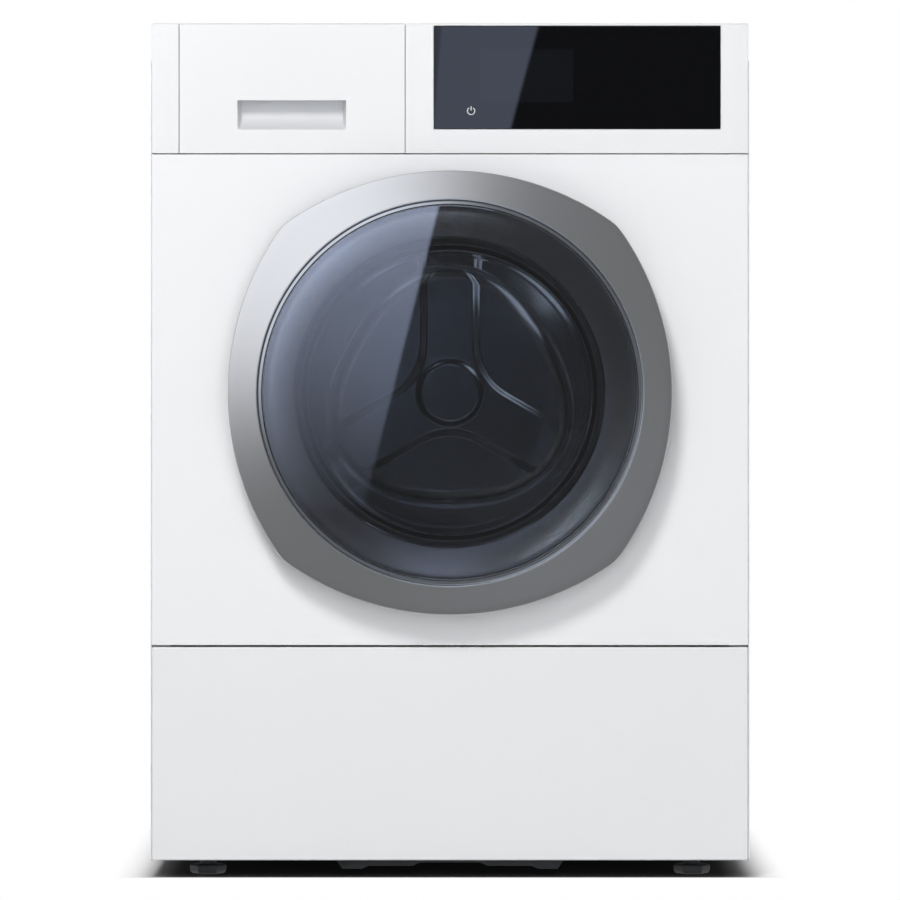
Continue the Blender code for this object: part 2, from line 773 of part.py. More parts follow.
def make_feet():
    names = ("foot_front_left", "foot_front_right", "foot_rear_left", "foot_rear_right")
    profile = [(0, 0), (FOOT_RADIUS - FOOT_NUT, 0), (FOOT_RADIUS, FOOT_NUT),
               (FOOT_RADIUS, FOOT_PAD - FOOT_NUT), (FOOT_NUT_RADIUS, FOOT_PAD),
               (FOOT_NUT_RADIUS, FOOT_PAD + FOOT_NUT), (STUD_RADIUS, FOOT_PAD + FOOT_NUT),
               (STUD_RADIUS, STUD_TOP), (0, STUD_TOP)]
    for name, (x, y) in zip(names, foot_places()):
        foot = turned(name, profile, BLACK, (x, y, 0), "Z", SMALL_SIDES)
        yield foot


def make_front_panel():
    """Painted sheet with folded edges and a mouth drawn inwards round the door."""
    low, high = FLAP_TOP + SEAM, FASCIA_BOTTOM - SEAM
    panel = add_piece("front_panel", box_at((-COVER_HALF, COVER_HALF),
                                            (FACE_Y, FACE_Y + COVER_RETURN), (low, high)), WHITE)
    room = COVER_HALF - SHEET
    cut(panel, box_at((-room, room), (PANEL_INNER_Y, FACE_Y + COVER_RETURN + OVERRUN),
                      (low + SHEET, high - SHEET)))
    centre = (0, 0, DOOR_Z)
    cut(panel, rod(MOUTH_RADIUS, FACE_Y - OVERRUN, FACE_Y + OVERRUN, centre, "Y", BIG_SIDES))
    collar = [(MOUTH_RADIUS - SHEET, FACE_Y), (MOUTH_RADIUS + SHEET, FACE_Y),
              (MOUTH_RADIUS + SHEET, PANEL_INNER_Y),
              (COLLAR_RADIUS + SHEET, FACE_Y + COLLAR_DEPTH / 2),
              (COLLAR_RADIUS + SHEET, FACE_Y + COLLAR_DEPTH), (COLLAR_RADIUS, FACE_Y + COLLAR_DEPTH),
              (COLLAR_RADIUS, FACE_Y + COLLAR_DEPTH / 2 - SHEET)]
    join(panel, turned_tool(collar, centre))
    slot = latch_slot()
    cut(panel, box_at(slot, (FACE_Y - OVERRUN, FACE_Y + OVERRUN / 2),
                      (DOOR_Z - LOCK_SLOT_HALF, DOOR_Z + LOCK_SLOT_HALF)))
    return panel


def latch_slot():
    return (LATCH_X - LATCH_ROOM - LATCH_THICKNESS / 2 + LATCH_BARB / 4,
            LATCH_X + LATCH_THICKNESS / 2 + LATCH_BARB + LATCH_ROOM)


def make_rear_panel():
    """Folded sheet with a large access opening and holes for the fittings."""
    low, high = PLINTH_Z, SIDE_TOP
    panel = add_piece("rear_panel", box_at((-COVER_HALF, COVER_HALF),
                                           (BACK_Y - REAR_RETURN, BACK_Y), (low, high)), ZINC)
    room = COVER_HALF - SHEET
    cut(panel, box_at((-room, room), (BACK_Y - REAR_RETURN - OVERRUN, BACK_Y - SHEET),
                      (low + SHEET, high - SHEET)))
    cut(panel, plate([access_outline(0)], "Y", BACK_Y - OVERRUN, BACK_Y + OVERRUN))
    for radius, x, z in ((VALVE_RADIUS, VALVE_X, VALVE_Z), (SPIGOT_RADIUS, SPIGOT_X, SPIGOT_Z),
                         (GLAND_RADIUS, GLAND_X, GLAND_Z)):
        cut(panel, rod(bore(radius), BACK_Y - OVERRUN, BACK_Y + OVERRUN, (x, 0, z)))
    return panel


def access_outline(grow):
    return rounded(-ACCESS_HALF_WIDTH - grow, ACCESS_BOTTOM - grow, ACCESS_HALF_WIDTH + grow,
                   ACCESS_TOP + grow, ACCESS_CORNER + grow, 4)


def make_service_cover():
    """Pressed cover over the pulley and belt, with louvres beside the motor."""
    inner = BACK_Y + GAP
    cover = add_piece("service_cover", plate([access_outline(COVER_OVERLAP)], "Y",
                                             inner, inner + SHEET), ZINC)
    join(cover, plate([access_outline(0)], "Y", inner + SHEET / 2, inner + COVER_RISE))
    cut(cover, plate([access_outline(-SHEET)], "Y", inner - OVERRUN, inner + COVER_RISE - SHEET))
    for index in range(LOUVRES):
        z = LOUVRE_Z + index * LOUVRE_PITCH
        slot = rounded(-LOUVRE_LENGTH / 2, z - LOUVRE_HEIGHT / 2, LOUVRE_LENGTH / 2,
                       z + LOUVRE_HEIGHT / 2, LOUVRE_HEIGHT / 3, 1)
        cut(cover, plate([slot], "Y", inner + COVER_RISE / 2, inner + COVER_RISE + OVERRUN))
    return cover


def make_crossbar():
    """Channel under the worktop that the springs hang from."""
    low, high = SPRING_TOP_Z, SIDE_TOP - GAP
    y0, y1 = SPRING_Y - CROSSBAR_DEPTH / 2, SPRING_Y + CROSSBAR_DEPTH / 2
    bar = add_piece("top_crossbar", box_at((-COVER_HALF, COVER_HALF), (y0, y1), (low, high)), ZINC)
    cut(bar, box_at((-COVER_HALF - OVERRUN, COVER_HALF + OVERRUN), (y0 + SHEET, y1 - SHEET),
                    (low + SHEET, high + OVERRUN)))
    return bar


# Control strip

def fascia_profile(depth_back):
    """Side view of the strip with its round top front edge."""
    top, low = CABINET_HEIGHT, FASCIA_BOTTOM
    edge = arc((FACE_Y + TOP_EDGE_RADIUS, top - TOP_EDGE_RADIUS), TOP_EDGE_RADIUS, 180, 90, 5)
    return [(FACE_Y, low)] + edge + [(depth_back, top), (depth_back, low)]


def make_fascia():
    """Moulded strip: a notch for the drawer front, a recess for the glass, hollow behind."""
    fascia = add_piece("control_fascia", plate([fascia_profile(FASCIA_BACK_Y)], "X",
                                               -COVER_HALF, COVER_HALF), PALE)
    drawer_right = DRAWER_LEFT + DRAWER_WIDTH
    cut(fascia, box_at((DRAWER_LEFT, drawer_right), (FACE_Y - OVERRUN, FACE_Y + DRAWER_FRONT_DEPTH + GAP),
                       (FASCIA_BOTTOM - OVERRUN, CABINET_HEIGHT + OVERRUN)))
    fit = GAP
    cut(fascia, box_at((TRAY_LEFT - fit, TRAY_RIGHT + fit), (FACE_Y, FASCIA_BACK_Y + OVERRUN),
                       (TRAY_FLOOR_Z - fit, TRAY_TOP_Z + fit)))
    inner = HALF_WIDTH - FLANGE - GAP
    cut(fascia, box_at((drawer_right + FASCIA_WALL, inner - FASCIA_WALL),
                       (FACE_Y + FASCIA_FRONT, FASCIA_BACK_Y + OVERRUN),
                       (FASCIA_BOTTOM + FASCIA_WALL, CABINET_HEIGHT - FASCIA_WALL)))
    for ends in ((-HALF_WIDTH, -inner), (inner, HALF_WIDTH)):
        cut(fascia, box_at(ends, (FACE_Y + COVER_RETURN, FASCIA_BACK_Y + OVERRUN),
                           (FASCIA_BOTTOM - OVERRUN, SIDE_TOP + GAP)))
    left, right, low, high = glass_frame()
    cut(fascia, box_at((left, right), (FACE_Y - OVERRUN, FACE_Y + GLASS_THICKNESS + GAP), (low, high)))
    ledge = GLASS_LEDGE
    cut(fascia, box_at((left + ledge, right - ledge), (FACE_Y, FACE_Y + FASCIA_FRONT + OVERRUN),
                       (low + ledge, high - ledge)))
    return fascia


def glass_frame():
    high = CABINET_HEIGHT - GLASS_TOP_MARGIN
    return GLASS_LEFT, GLASS_LEFT + GLASS_WIDTH, high - GLASS_HEIGHT, high


def make_control_glass():
    left, right, low, high = glass_frame()
    return add_piece("control_glass", box_at((left + GAP, right - GAP), (FACE_Y, FACE_Y + GLASS_THICKNESS),
                                             (low + GAP, high - GAP)), TINTED)


def make_control_board():
    """Board with the display block that lies close behind the glass."""
    left, right, low, high = glass_frame()
    margin = BOARD_MARGIN
    display_top = CABINET_HEIGHT - DISPLAY_TOP_MARGIN
    face = FACE_Y + GLASS_THICKNESS + GAP
    back = face + DISPLAY_BODY
    board = add_piece("control_board", box_at((left + margin, right - margin), (back, back + BOARD_THICKNESS),
                                              (low + margin, high - margin)), BOARD)
    join(board, box_at((DISPLAY_LEFT, DISPLAY_LEFT + DISPLAY_WIDTH), (face, back + BOARD_THICKNESS / 2),
                       (display_top - DISPLAY_HEIGHT, display_top)))
    return board


def make_drawer():
    """Drawer front with its finger scoop, and the tray with three compartments."""
    seam = SEAM / 2
    left, right = DRAWER_LEFT + seam, DRAWER_LEFT + DRAWER_WIDTH - seam
    front = add_piece("drawer_front", plate([fascia_profile(FACE_Y + DRAWER_FRONT_DEPTH)], "X",
                                            left, right), PALE)
    low, high = FASCIA_BOTTOM + SCOOP_RISE, FASCIA_BOTTOM + SCOOP_RISE + SCOOP_HEIGHT
    sweep = [(FACE_Y + SCOOP_DEPTH * math.sin(turn), high - SCOOP_HEIGHT * math.cos(turn))
             for turn in [math.radians(90 * step / 8) for step in range(9)]]
    scoop = [(FACE_Y - OVERRUN, low - SCOOP_LIP)] + sweep + [(FACE_Y - OVERRUN, high)]
    cut(front, plate([scoop], "X", SCOOP_LEFT, SCOOP_LEFT + SCOOP_WIDTH))
    outline = rounded(TRAY_LEFT, TRAY_FRONT_Y, TRAY_RIGHT, TRAY_BACK_Y, TRAY_CORNER, 3)
    tray = add_piece("drawer_tray", plate([outline], "Z", TRAY_FLOOR_Z, TRAY_TOP_Z), PALE)
    for start, end in zip(TRAY_SHARES, TRAY_SHARES[1:]):
        x0 = TRAY_LEFT + (TRAY_RIGHT - TRAY_LEFT) * start + TRAY_WALL
        x1 = TRAY_LEFT + (TRAY_RIGHT - TRAY_LEFT) * end - TRAY_WALL
        room = rounded(x0, TRAY_FRONT_Y + TRAY_WALL, x1, TRAY_BACK_Y - TRAY_WALL, TRAY_CORNER - TRAY_WALL, 3)
        cut(tray, plate([room], "Z", TRAY_FLOOR_Z + TRAY_WALL, TRAY_TOP_Z + OVERRUN))
    return front, tray


def make_dispenser_housing():
    """Box behind the strip that the tray runs in, with an outlet towards the tub."""
    fit, wall = GAP, HOUSING_WALL
    left, right = TRAY_LEFT - fit - wall, TRAY_RIGHT + fit + wall
    low, high = TRAY_FLOOR_Z - fit - wall, TRAY_TOP_Z + HOUSING_HEADROOM
    front, back = FASCIA_BACK_Y + GAP, TRAY_BACK_Y + HOUSING_BACK_ROOM
    housing = add_piece("dispenser_housing", box_at((left, right), (front, back), (low, high)), GREY)
    cut(housing, box_at((left + wall, right - wall), (front - OVERRUN, back - wall), (low + wall, high - wall)))
    drop = low - HOUSING_OUTLET_DROP
    place = (FILL_X, FILL_Y, 0)
    join(housing, rod(HOUSING_OUTLET_RADIUS, drop, low + wall / 2, place, "Z"))
    cut(housing, rod(HOUSING_OUTLET_RADIUS - wall, drop - OVERRUN, low + wall + OVERRUN / 4, place, "Z"))
    return housing


def housing_outlet_z():
    return TRAY_FLOOR_Z - GAP - HOUSING_WALL - HOUSING_OUTLET_DROP


def fill_neck_z():
    """Top of the tub's fill neck, above the tub's wall at its place."""
    return DOOR_Z + math.sqrt(TUB_OUTER ** 2 - FILL_X ** 2) + FILL_NECK_HEIGHT


def make_fill_bellows():
    """Ribbed rubber sleeve from the dispenser outlet down to the tub."""
    low, high = fill_neck_z() + GAP, housing_outlet_z() - GAP
    radius, inner = HOUSING_OUTLET_RADIUS, HOUSING_OUTLET_RADIUS - BELLOWS_WALL
    pitch = (high - low) / (2 * BELLOWS_RIBS)
    outer_side = [(radius + (BELLOWS_RIB if step % 2 else 0), low + pitch * step)
                  for step in range(2 * BELLOWS_RIBS + 1)]
    inner_side = [(inner + (BELLOWS_RIB if step % 2 else 0), low + pitch * step)
                  for step in range(2 * BELLOWS_RIBS + 1)]
    profile = outer_side + list(reversed(inner_side))
    return turned("fill_bellows", profile, RUBBER, (FILL_X, FILL_Y, 0), "Z", SMALL_SIDES)


# Door

def ring_outline(angle):
    """Distance from the door's centre to its outer edge: four shallow arcs with round corners."""
    quarter = abs((angle + math.pi / 4) % (math.pi / 2) - math.pi / 4)
    reach, offset, corner = RING_ARC_RADIUS, RING_ARC_OFFSET, RING_CORNER_RADIUS
    along = -offset / math.sqrt(2) + math.sqrt((reach - corner) ** 2 - offset ** 2 / 2)
    side = along / math.sqrt(2)
    lean = math.atan2(side, side + offset)
    meet = math.atan2(reach * math.sin(lean), reach * math.cos(lean) - offset)
    if quarter <= meet:
        return -offset * math.cos(quarter) + math.sqrt(reach ** 2 - (offset * math.sin(quarter)) ** 2)
    swing = math.pi / 4 - quarter
    return along * math.cos(swing) + math.sqrt(corner ** 2 - (along * math.sin(swing)) ** 2)


def ease(value):
    value = min(max(value, 0), 1)
    return value * value * (3 - 2 * value)


def grip_share(angle):
    """1 at the finger grip on the right of the door, fading to 0 above and below it."""
    degrees = abs(math.degrees(math.remainder(angle, math.tau)))
    return ease((GRIP_HALF_DEG - degrees) / (GRIP_HALF_DEG - GRIP_FLAT_DEG))


def door_point(radius, y, angle):
    return (radius * math.cos(angle), y, DOOR_Z + radius * math.sin(angle))


def door_angles(steps):
    return [math.tau * step / steps for step in range(steps)]


def ring_face_y(radius):
    """Depth of the ring's tilted face at a radius."""
    return FRONT_Y + (radius - RING_INNER_RADIUS) * RING_TILT_SHARE


def ring_section(angle):
    """Cut through the ring, from the glass edge over the face and down the outer wall."""
    edge = ring_outline(angle)
    wall = RING_WALL
    back = DOOR_BACK_Y - grip_share(angle) * GRIP_SCALLOP
    shoulder = ring_face_y(edge - RING_EDGE)
    outer = [(RING_GLASS_RADIUS, FRONT_Y + RING_CHAMFER), (RING_INNER_RADIUS, FRONT_Y),
             (edge - RING_EDGE, shoulder), (edge - RING_EDGE / 3, shoulder + RING_EDGE / 3),
             (edge, shoulder + RING_EDGE), (edge, back)]
    seat = FRONT_Y + RING_CHAMFER + DOOR_GLASS_THICKNESS
    inner = [(edge - wall, back), (edge - wall, shoulder + RING_EDGE),
             (edge - RING_EDGE - wall / 2, shoulder + wall), (RING_INNER_RADIUS + wall / 2, FRONT_Y + wall * 2),
             (RING_INNER_RADIUS, seat), (RING_GLASS_RADIUS, seat)]
    return [door_point(radius, y, angle) for radius, y in outer + inner]


def make_door_ring():
    """Four-sided ring with tilted face: round at the glass, rounded square outside."""
    ring = loft("door_ring", [ring_section(angle) for angle in door_angles(DOOR_STEPS)], SATIN)
    notch = HINGE_NECK_HALF + HINGE_LUG + HINGE_CLEAR
    edge = ring_outline(math.pi)
    cut(ring, box_at((-edge - OVERRUN, -edge + OVERRUN), (HINGE_Y - HINGE_LUG / 6, DOOR_BACK_Y + OVERRUN),
                     (DOOR_Z - notch, DOOR_Z + notch)))
    return ring


def make_door_glass():
    """Round tinted pane with a slight dome, flush in the ring."""
    radius = RING_GLASS_RADIUS - GAP
    front = FRONT_Y + RING_CHAMFER
    back = front + DOOR_GLASS_THICKNESS
    rise = DOOR_GLASS_DOME
    dome = [(radius * share, front - rise * (1 - share * share)) for share in (0, 0.5, 1)]
    profile = dome + [(radius, back), (0, back)]
    return turned("door_glass", profile, TINTED, (0, 0, DOOR_Z), "Y", DOOR_STEPS)


def make_door_frame():
    """Dark inner moulding: sloping band behind the glass and the door's back with its grip."""
    mouth, band, wall = FRAME_MOUTH_RADIUS, FRAME_BAND_RADIUS, FRAME_WALL
    band_front = FRONT_Y + RING_CHAMFER + DOOR_GLASS_THICKNESS + GAP
    band_back = band_front + FRAME_BAND_DEPTH
    sections = []
    for angle in door_angles(DOOR_STEPS):
        edge = ring_outline(angle) - RING_WALL - GAP
        deep = grip_share(angle) * GRIP_DEPTH
        back = DOOR_BACK_Y
        shelf = GRIP_SHELF_RADIUS
        points = [(mouth, back), (shelf, back), (shelf + GRIP_SHELF_SLOPE, back - deep),
                  (edge, back - deep), (edge, back - deep - wall),
                  (shelf + GRIP_SHELF_SLOPE - wall / 2, back - deep - wall), (shelf - wall / 2, back - wall),
                  (mouth + wall, back - wall), (mouth + wall, band_back + wall / 2),
                  (band, band_front + wall), (band, band_front), (mouth, band_back)]
        sections.append([door_point(radius, y, angle) for radius, y in points])
    frame = loft("door_frame", sections, DARK)
    notch = HINGE_NECK_HALF + HINGE_LUG + HINGE_CLEAR
    cut(frame, box_at((HINGE_X - OVERRUN * 2, HINGE_X + HINGE_NECK_REACH + HINGE_NECK_THICKNESS),
                      (DOOR_BACK_Y - wall * 2, DOOR_BACK_Y + OVERRUN), (DOOR_Z - notch, DOOR_Z + notch)))
    left, right = LATCH_X - LATCH_ROOM, LATCH_X + LATCH_ROOM
    cut(frame, box_at((left, right), (DOOR_BACK_Y - wall * 2, DOOR_BACK_Y + OVERRUN),
                      (DOOR_Z - LATCH_HALF - GAP, DOOR_Z + LATCH_HALF + GAP)))
    for side in (-1, 1):
        near, far = LATCH_HALF + GAP, LATCH_HALF + GAP + LATCH_LUG
        ends = sorted((DOOR_Z + side * near, DOOR_Z + side * far))
        pivot = DOOR_BACK_Y - LATCH_PIVOT_AHEAD
        join(frame, box_at((LATCH_X - LATCH_PIVOT_RADIUS, LATCH_X + LATCH_PIVOT_RADIUS),
                           (pivot - LATCH_PIVOT_RADIUS, DOOR_BACK_Y - wall / 2), ends))
    return frame


def bowl_outline(angle, share):
    """Bowl radius: a circle at the mouth that turns into a rounded triangle at the tip."""
    lobe = BOWL_LOBE * math.cos(3 * (angle - math.pi / 2))
    return BOWL_NECK_RADIUS + (BOWL_TIP_RADIUS + lobe - BOWL_NECK_RADIUS) * share


def make_door_bowl():
    """Pressed glass bowl that fills the drum's mouth."""
    flange = FRAME_MOUTH_RADIUS - GAP
    mouth_y = FRONT_Y + RING_CHAMFER + DOOR_GLASS_THICKNESS + BOWL_SEAT
    lip_y = mouth_y + BOWL_FLANGE
    tip_y = FACE_Y + BOWL_DEPTH
    edge, wall = BOWL_EDGE, BOWL_WALL
    turns = [math.radians(30 * step) for step in range(4)]
    steps = DOOR_STEPS - 8
    outer, inner = [], []
    for angle in door_angles(steps):
        tip = bowl_outline(angle, 1)
        side = [(flange, mouth_y), (flange, lip_y), (BOWL_RADIUS, lip_y), (BOWL_NECK_RADIUS, FACE_Y)]
        side += [(tip - edge + edge * math.cos(turn), tip_y - edge + edge * math.sin(turn)) for turn in turns]
        inside = [(tip - edge + (edge - wall) * math.cos(turn), tip_y - edge + (edge - wall) * math.sin(turn))
                  for turn in turns]
        inside.append((BOWL_NECK_RADIUS - wall, FACE_Y))
        inside.append((BOWL_RADIUS - wall, mouth_y))
        outer.append([door_point(radius, y, angle) for radius, y in side])
        inner.append([door_point(radius, y, angle) for radius, y in reversed(inside[:4])]
                     + [door_point(radius, y, angle) for radius, y in inside[4:]])
    shape = bmesh.new()
    mouth_ring = [[shape.verts.new(point) for point in row] for row in outer]
    inner_ring = [[shape.verts.new(point) for point in row] for row in inner]
    last = len(inner_ring[0]) - 1
    for index in range(steps):
        row, after = mouth_ring[index], mouth_ring[(index + 1) % steps]
        for step in range(len(row) - 1):
            shape.faces.new((row[step], row[step + 1], after[step + 1], after[step]))
        row2, after2 = inner_ring[index], inner_ring[(index + 1) % steps]
        for step in range(3):
            shape.faces.new((row2[step], row2[step + 1], after2[step + 1], after2[step]))
        shape.faces.new((row2[3], row2[4], after2[4], after2[3]))
        shape.faces.new((row2[4], row2[last], after2[last], after2[4]))
        shape.faces.new((row2[last], row[0], after[0], after2[last]))
    shape.faces.new([row[-1] for row in mouth_ring])
    shape.faces.new([row[0] for row in inner_ring])
    bmesh.ops.recalc_face_normals(shape, faces=shape.faces)
    mesh = bpy.data.meshes.new("door_bowl")
    shape.to_mesh(mesh)
    shape.free()
    bowl = add_piece("door_bowl", mesh, CLEAR)
    smooth(bowl)
    return bowl


def hinge_place(points):
    return [(HINGE_X + x, HINGE_Y + y) for x, y in points]


def make_hinge_bracket():
    """Fixed gooseneck: from the pin it reaches inwards, then back to a leaf on the panel."""
    eye, half = HINGE_EYE_RADIUS, HINGE_NECK_THICKNESS / 2
    reach, back = HINGE_NECK_REACH, HINGE_STANDOFF - GAP - HINGE_LEAF_THICKNESS / 2
    neck = hinge_place([(0, -half), (reach + half, -half), (reach + half, back), (reach - half, back),
                        (reach - half, half), (0, half)])
    low, high = DOOR_Z - HINGE_NECK_HALF, DOOR_Z + HINGE_NECK_HALF
    bracket = add_piece("hinge_bracket", plate([neck], "Z", low, high), ALLOY)
    place = (HINGE_X, HINGE_Y, 0)
    join(bracket, rod(eye, low, high, place, "Z"))
    leaf_x = HINGE_X + HINGE_LEAF_START
    join(bracket, box_at((leaf_x, leaf_x + HINGE_LEAF_LENGTH),
                         (FACE_Y - GAP - HINGE_LEAF_THICKNESS, FACE_Y - GAP),
                         (DOOR_Z - HINGE_LEAF_HALF, DOOR_Z + HINGE_LEAF_HALF)))
    cut(bracket, rod(bore(HINGE_PIN_RADIUS), low - OVERRUN, high + OVERRUN, place, "Z"))
    return bracket


def make_hinge_pin():
    reach = HINGE_NECK_HALF + GAP + HINGE_LUG
    profile = [(0, DOOR_Z - reach), (HINGE_PIN_RADIUS, DOOR_Z - reach), (HINGE_PIN_RADIUS, DOOR_Z + reach),
               (0, DOOR_Z + reach)]
    return turned("hinge_pin", profile, STEEL, (HINGE_X, HINGE_Y, 0), "Z", SMALL_SIDES)


def make_hinge_arm():
    """Door side of the hinge: two lugs round the pin on a plate inside the door's back."""
    eye = HINGE_EYE_RADIUS
    plate_back = HINGE_STANDOFF - DOOR_BACK_GAP - FRAME_WALL - GAP
    plate_front = plate_back - HINGE_ARM_PLATE
    outline = arc((0, 0), eye, 60, 300, 8) + [(HINGE_ARM_START, plate_front), (HINGE_ARM_END, plate_front),
                                              (HINGE_ARM_END, plate_back), (HINGE_ARM_START, plate_back)]
    near = HINGE_NECK_HALF + GAP
    lugs = [(DOOR_Z + near, DOOR_Z + near + HINGE_LUG), (DOOR_Z - near - HINGE_LUG, DOOR_Z - near)]
    arm = add_piece("door_hinge_arm", plate([hinge_place(outline)], "Z", *lugs[0]), ALLOY)
    join(arm, plate([hinge_place(outline)], "Z", *lugs[1]))
    join(arm, box_at((HINGE_X + HINGE_ARM_START, HINGE_X + HINGE_ARM_END - GAP),
                     (HINGE_Y + plate_front - GAP, HINGE_Y + plate_back),
                     (DOOR_Z - near - HINGE_LUG / 2, DOOR_Z + near + HINGE_LUG / 2)))
    reach = near + HINGE_LUG + OVERRUN
    cut(arm, rod(bore(HINGE_PIN_RADIUS), DOOR_Z - reach, DOOR_Z + reach, (HINGE_X, HINGE_Y, 0), "Z"))
    return arm


def make_latch_hook():
    """Sprung hook in the door's back that enters the lock."""
    pivot_y = DOOR_BACK_Y - LATCH_PIVOT_AHEAD
    half = LATCH_THICKNESS / 2
    tip_y = FACE_Y + LATCH_REACH
    barb_y = tip_y - LATCH_BARB_LENGTH
    outline = [(LATCH_X - half, pivot_y), (LATCH_X + half, pivot_y), (LATCH_X + half, barb_y),
               (LATCH_X + half + LATCH_BARB, barb_y), (LATCH_X + half, tip_y), (LATCH_X - half, tip_y)]
    hook = add_piece("latch_hook", plate([outline], "Z", DOOR_Z - LATCH_HALF, DOOR_Z + LATCH_HALF), ALLOY)
    join(hook, rod(LATCH_PIVOT_RADIUS, DOOR_Z - LATCH_HALF, DOOR_Z + LATCH_HALF, (LATCH_X, pivot_y, 0), "Z"))
    return hook


def make_door_lock():
    """Lock housing behind the panel with a slot that takes the hook."""
    left, right = latch_slot()
    front = PANEL_INNER_Y + GAP
    back = FACE_Y + LOCK_DEPTH
    wall = FASCIA_WALL
    lock = add_piece("door_lock", box_at((left - wall, right + LOCK_SIDE), (front, back),
                                         (DOOR_Z - LOCK_HALF_HEIGHT, DOOR_Z + LOCK_HALF_HEIGHT)), DARK)
    cut(lock, box_at((left, right), (front - OVERRUN, back - wall),
                     (DOOR_Z - LOCK_SLOT_HALF, DOOR_Z + LOCK_SLOT_HALF)))
    return lock


def make_door_seal():
    """Rubber seal from the panel's mouth to the tub's neck, with one fold."""
    wall = SEAL_WALL
    outer = COLLAR_RADIUS * math.cos(math.pi / BIG_SIDES) - GAP
    rear_outer = TUB_MOUTH_RADIUS * math.cos(math.pi / BIG_SIDES) - GAP
    front_y = FACE_Y + SHEET
    collar_end = FACE_Y + COLLAR_DEPTH
    fold_y = FACE_Y + SEAL_FOLD_START
    rear_y = TUB_FRONT_Y - TUB_NECK
    end_y = TUB_FRONT_Y - GAP
    profile = [(SEAL_LIP_RADIUS, front_y), (outer, front_y), (outer, collar_end), (outer, fold_y - wall),
               (SEAL_FOLD_RADIUS, fold_y), (SEAL_FOLD_RADIUS, fold_y + SEAL_FOLD),
               (rear_outer, fold_y + SEAL_FOLD + wall), (rear_outer, end_y), (rear_outer - wall, end_y),
               (rear_outer - wall, rear_y), (outer, rear_y - wall), (SEAL_FOLD_RADIUS - wall, fold_y + SEAL_FOLD - wall),
               (SEAL_FOLD_RADIUS - wall, fold_y + wall), (outer - wall, fold_y + wall / 2),
               (outer - wall, front_y + wall * 2), (SEAL_LIP_RADIUS, front_y + wall)]
    return turned("door_seal", profile, RUBBER, (0, 0, DOOR_Z))


# Tub

def make_tub_front():
    """Front half of the tub: mouth with its neck, wall, joint flange, sump and fill neck."""
    outer, inner = TUB_OUTER, TUB_RADIUS
    wall = TUB_WALL
    front = TUB_FRONT_Y
    neck = TUB_MOUTH_RADIUS
    flange_y = TUB_JOINT_Y - TUB_FLANGE_THICKNESS
    profile = [(neck, front - TUB_NECK), (neck + wall, front - TUB_NECK), (neck + wall, front),
               (outer - DRUM_CORNER, front), (outer, front + DRUM_CORNER), (outer, flange_y),
               (outer + TUB_FLANGE, flange_y), (outer + TUB_FLANGE, TUB_JOINT_Y), (inner, TUB_JOINT_Y),
               (inner, front + DRUM_CORNER), (inner - DRUM_CORNER + wall, front + wall), (neck, front + wall)]
    tub = turned("tub_front_half", profile, GREY, (0, 0, DOOR_Z))
    side = SUMP_WALL
    low, top = SUMP_Z, DOOR_Z - math.sqrt((inner - DRUM_CORNER) ** 2 - SUMP_HALF ** 2)
    y0, y1 = front + GAP, front + GAP + SUMP_LENGTH
    grow_on_tub(tub, box_at((-SUMP_HALF, SUMP_HALF), (y0, y1), (low, top)))
    cut(tub, box_at((-SUMP_HALF + side, SUMP_HALF - side), (y0 + side, y1 - side), (low + side, top)))
    outlet = (SUMP_OUTLET_X, SUMP_OUTLET_Y, 0)
    join(tub, rod(HOSE_RADIUS, low - SUMP_OUTLET_DROP, low + side / 2, outlet, "Z"))
    cut(tub, rod(HOSE_BORE, low - SUMP_OUTLET_DROP - OVERRUN, low + side * 2, outlet, "Z"))
    slot = HEATER_HALF + HEATER_RADIUS + SUMP_WALL
    cut(tub, box_at((-slot, slot), (front - OVERRUN, y0 + side * 2),
                    (HEATER_Z - HEATER_RADIUS - GAP, HEATER_Z + HEATER_RADIUS + GAP)))
    fill = (FILL_X, FILL_Y, 0)
    top_z = fill_neck_z()
    radius = HOUSING_OUTLET_RADIUS
    foot_z = DOOR_Z + math.sqrt(TUB_RADIUS ** 2 - (abs(FILL_X) + radius) ** 2) - wall * 2
    grow_on_tub(tub, rod(radius, foot_z, top_z, fill, "Z"))
    cut(tub, rod(radius - BELLOWS_WALL, foot_z, top_z + OVERRUN, fill, "Z"))
    return tub


def tub_core():
    """Solid up to the middle of the tub's wall."""
    wall, corner = TUB_WALL / 2, DRUM_CORNER
    front, back = TUB_FRONT_Y, TUB_BACK_Y
    side, shoulder = TUB_RADIUS + wall, TUB_RADIUS + TUB_WALL - corner
    profile = [(0, front + wall), (shoulder, front + wall), (side, front + corner), (side, back - corner),
               (shoulder, back - wall), (0, back - wall)]
    return turned_tool(profile, (0, 0, DOOR_Z))


def grow_on_tub(tub, mesh):
    """Joins a shape to the outside of the tub, cut back to the middle of the tub's wall."""
    tool = join(tub, mesh)
    cut(tool, tub_core())
    return tool


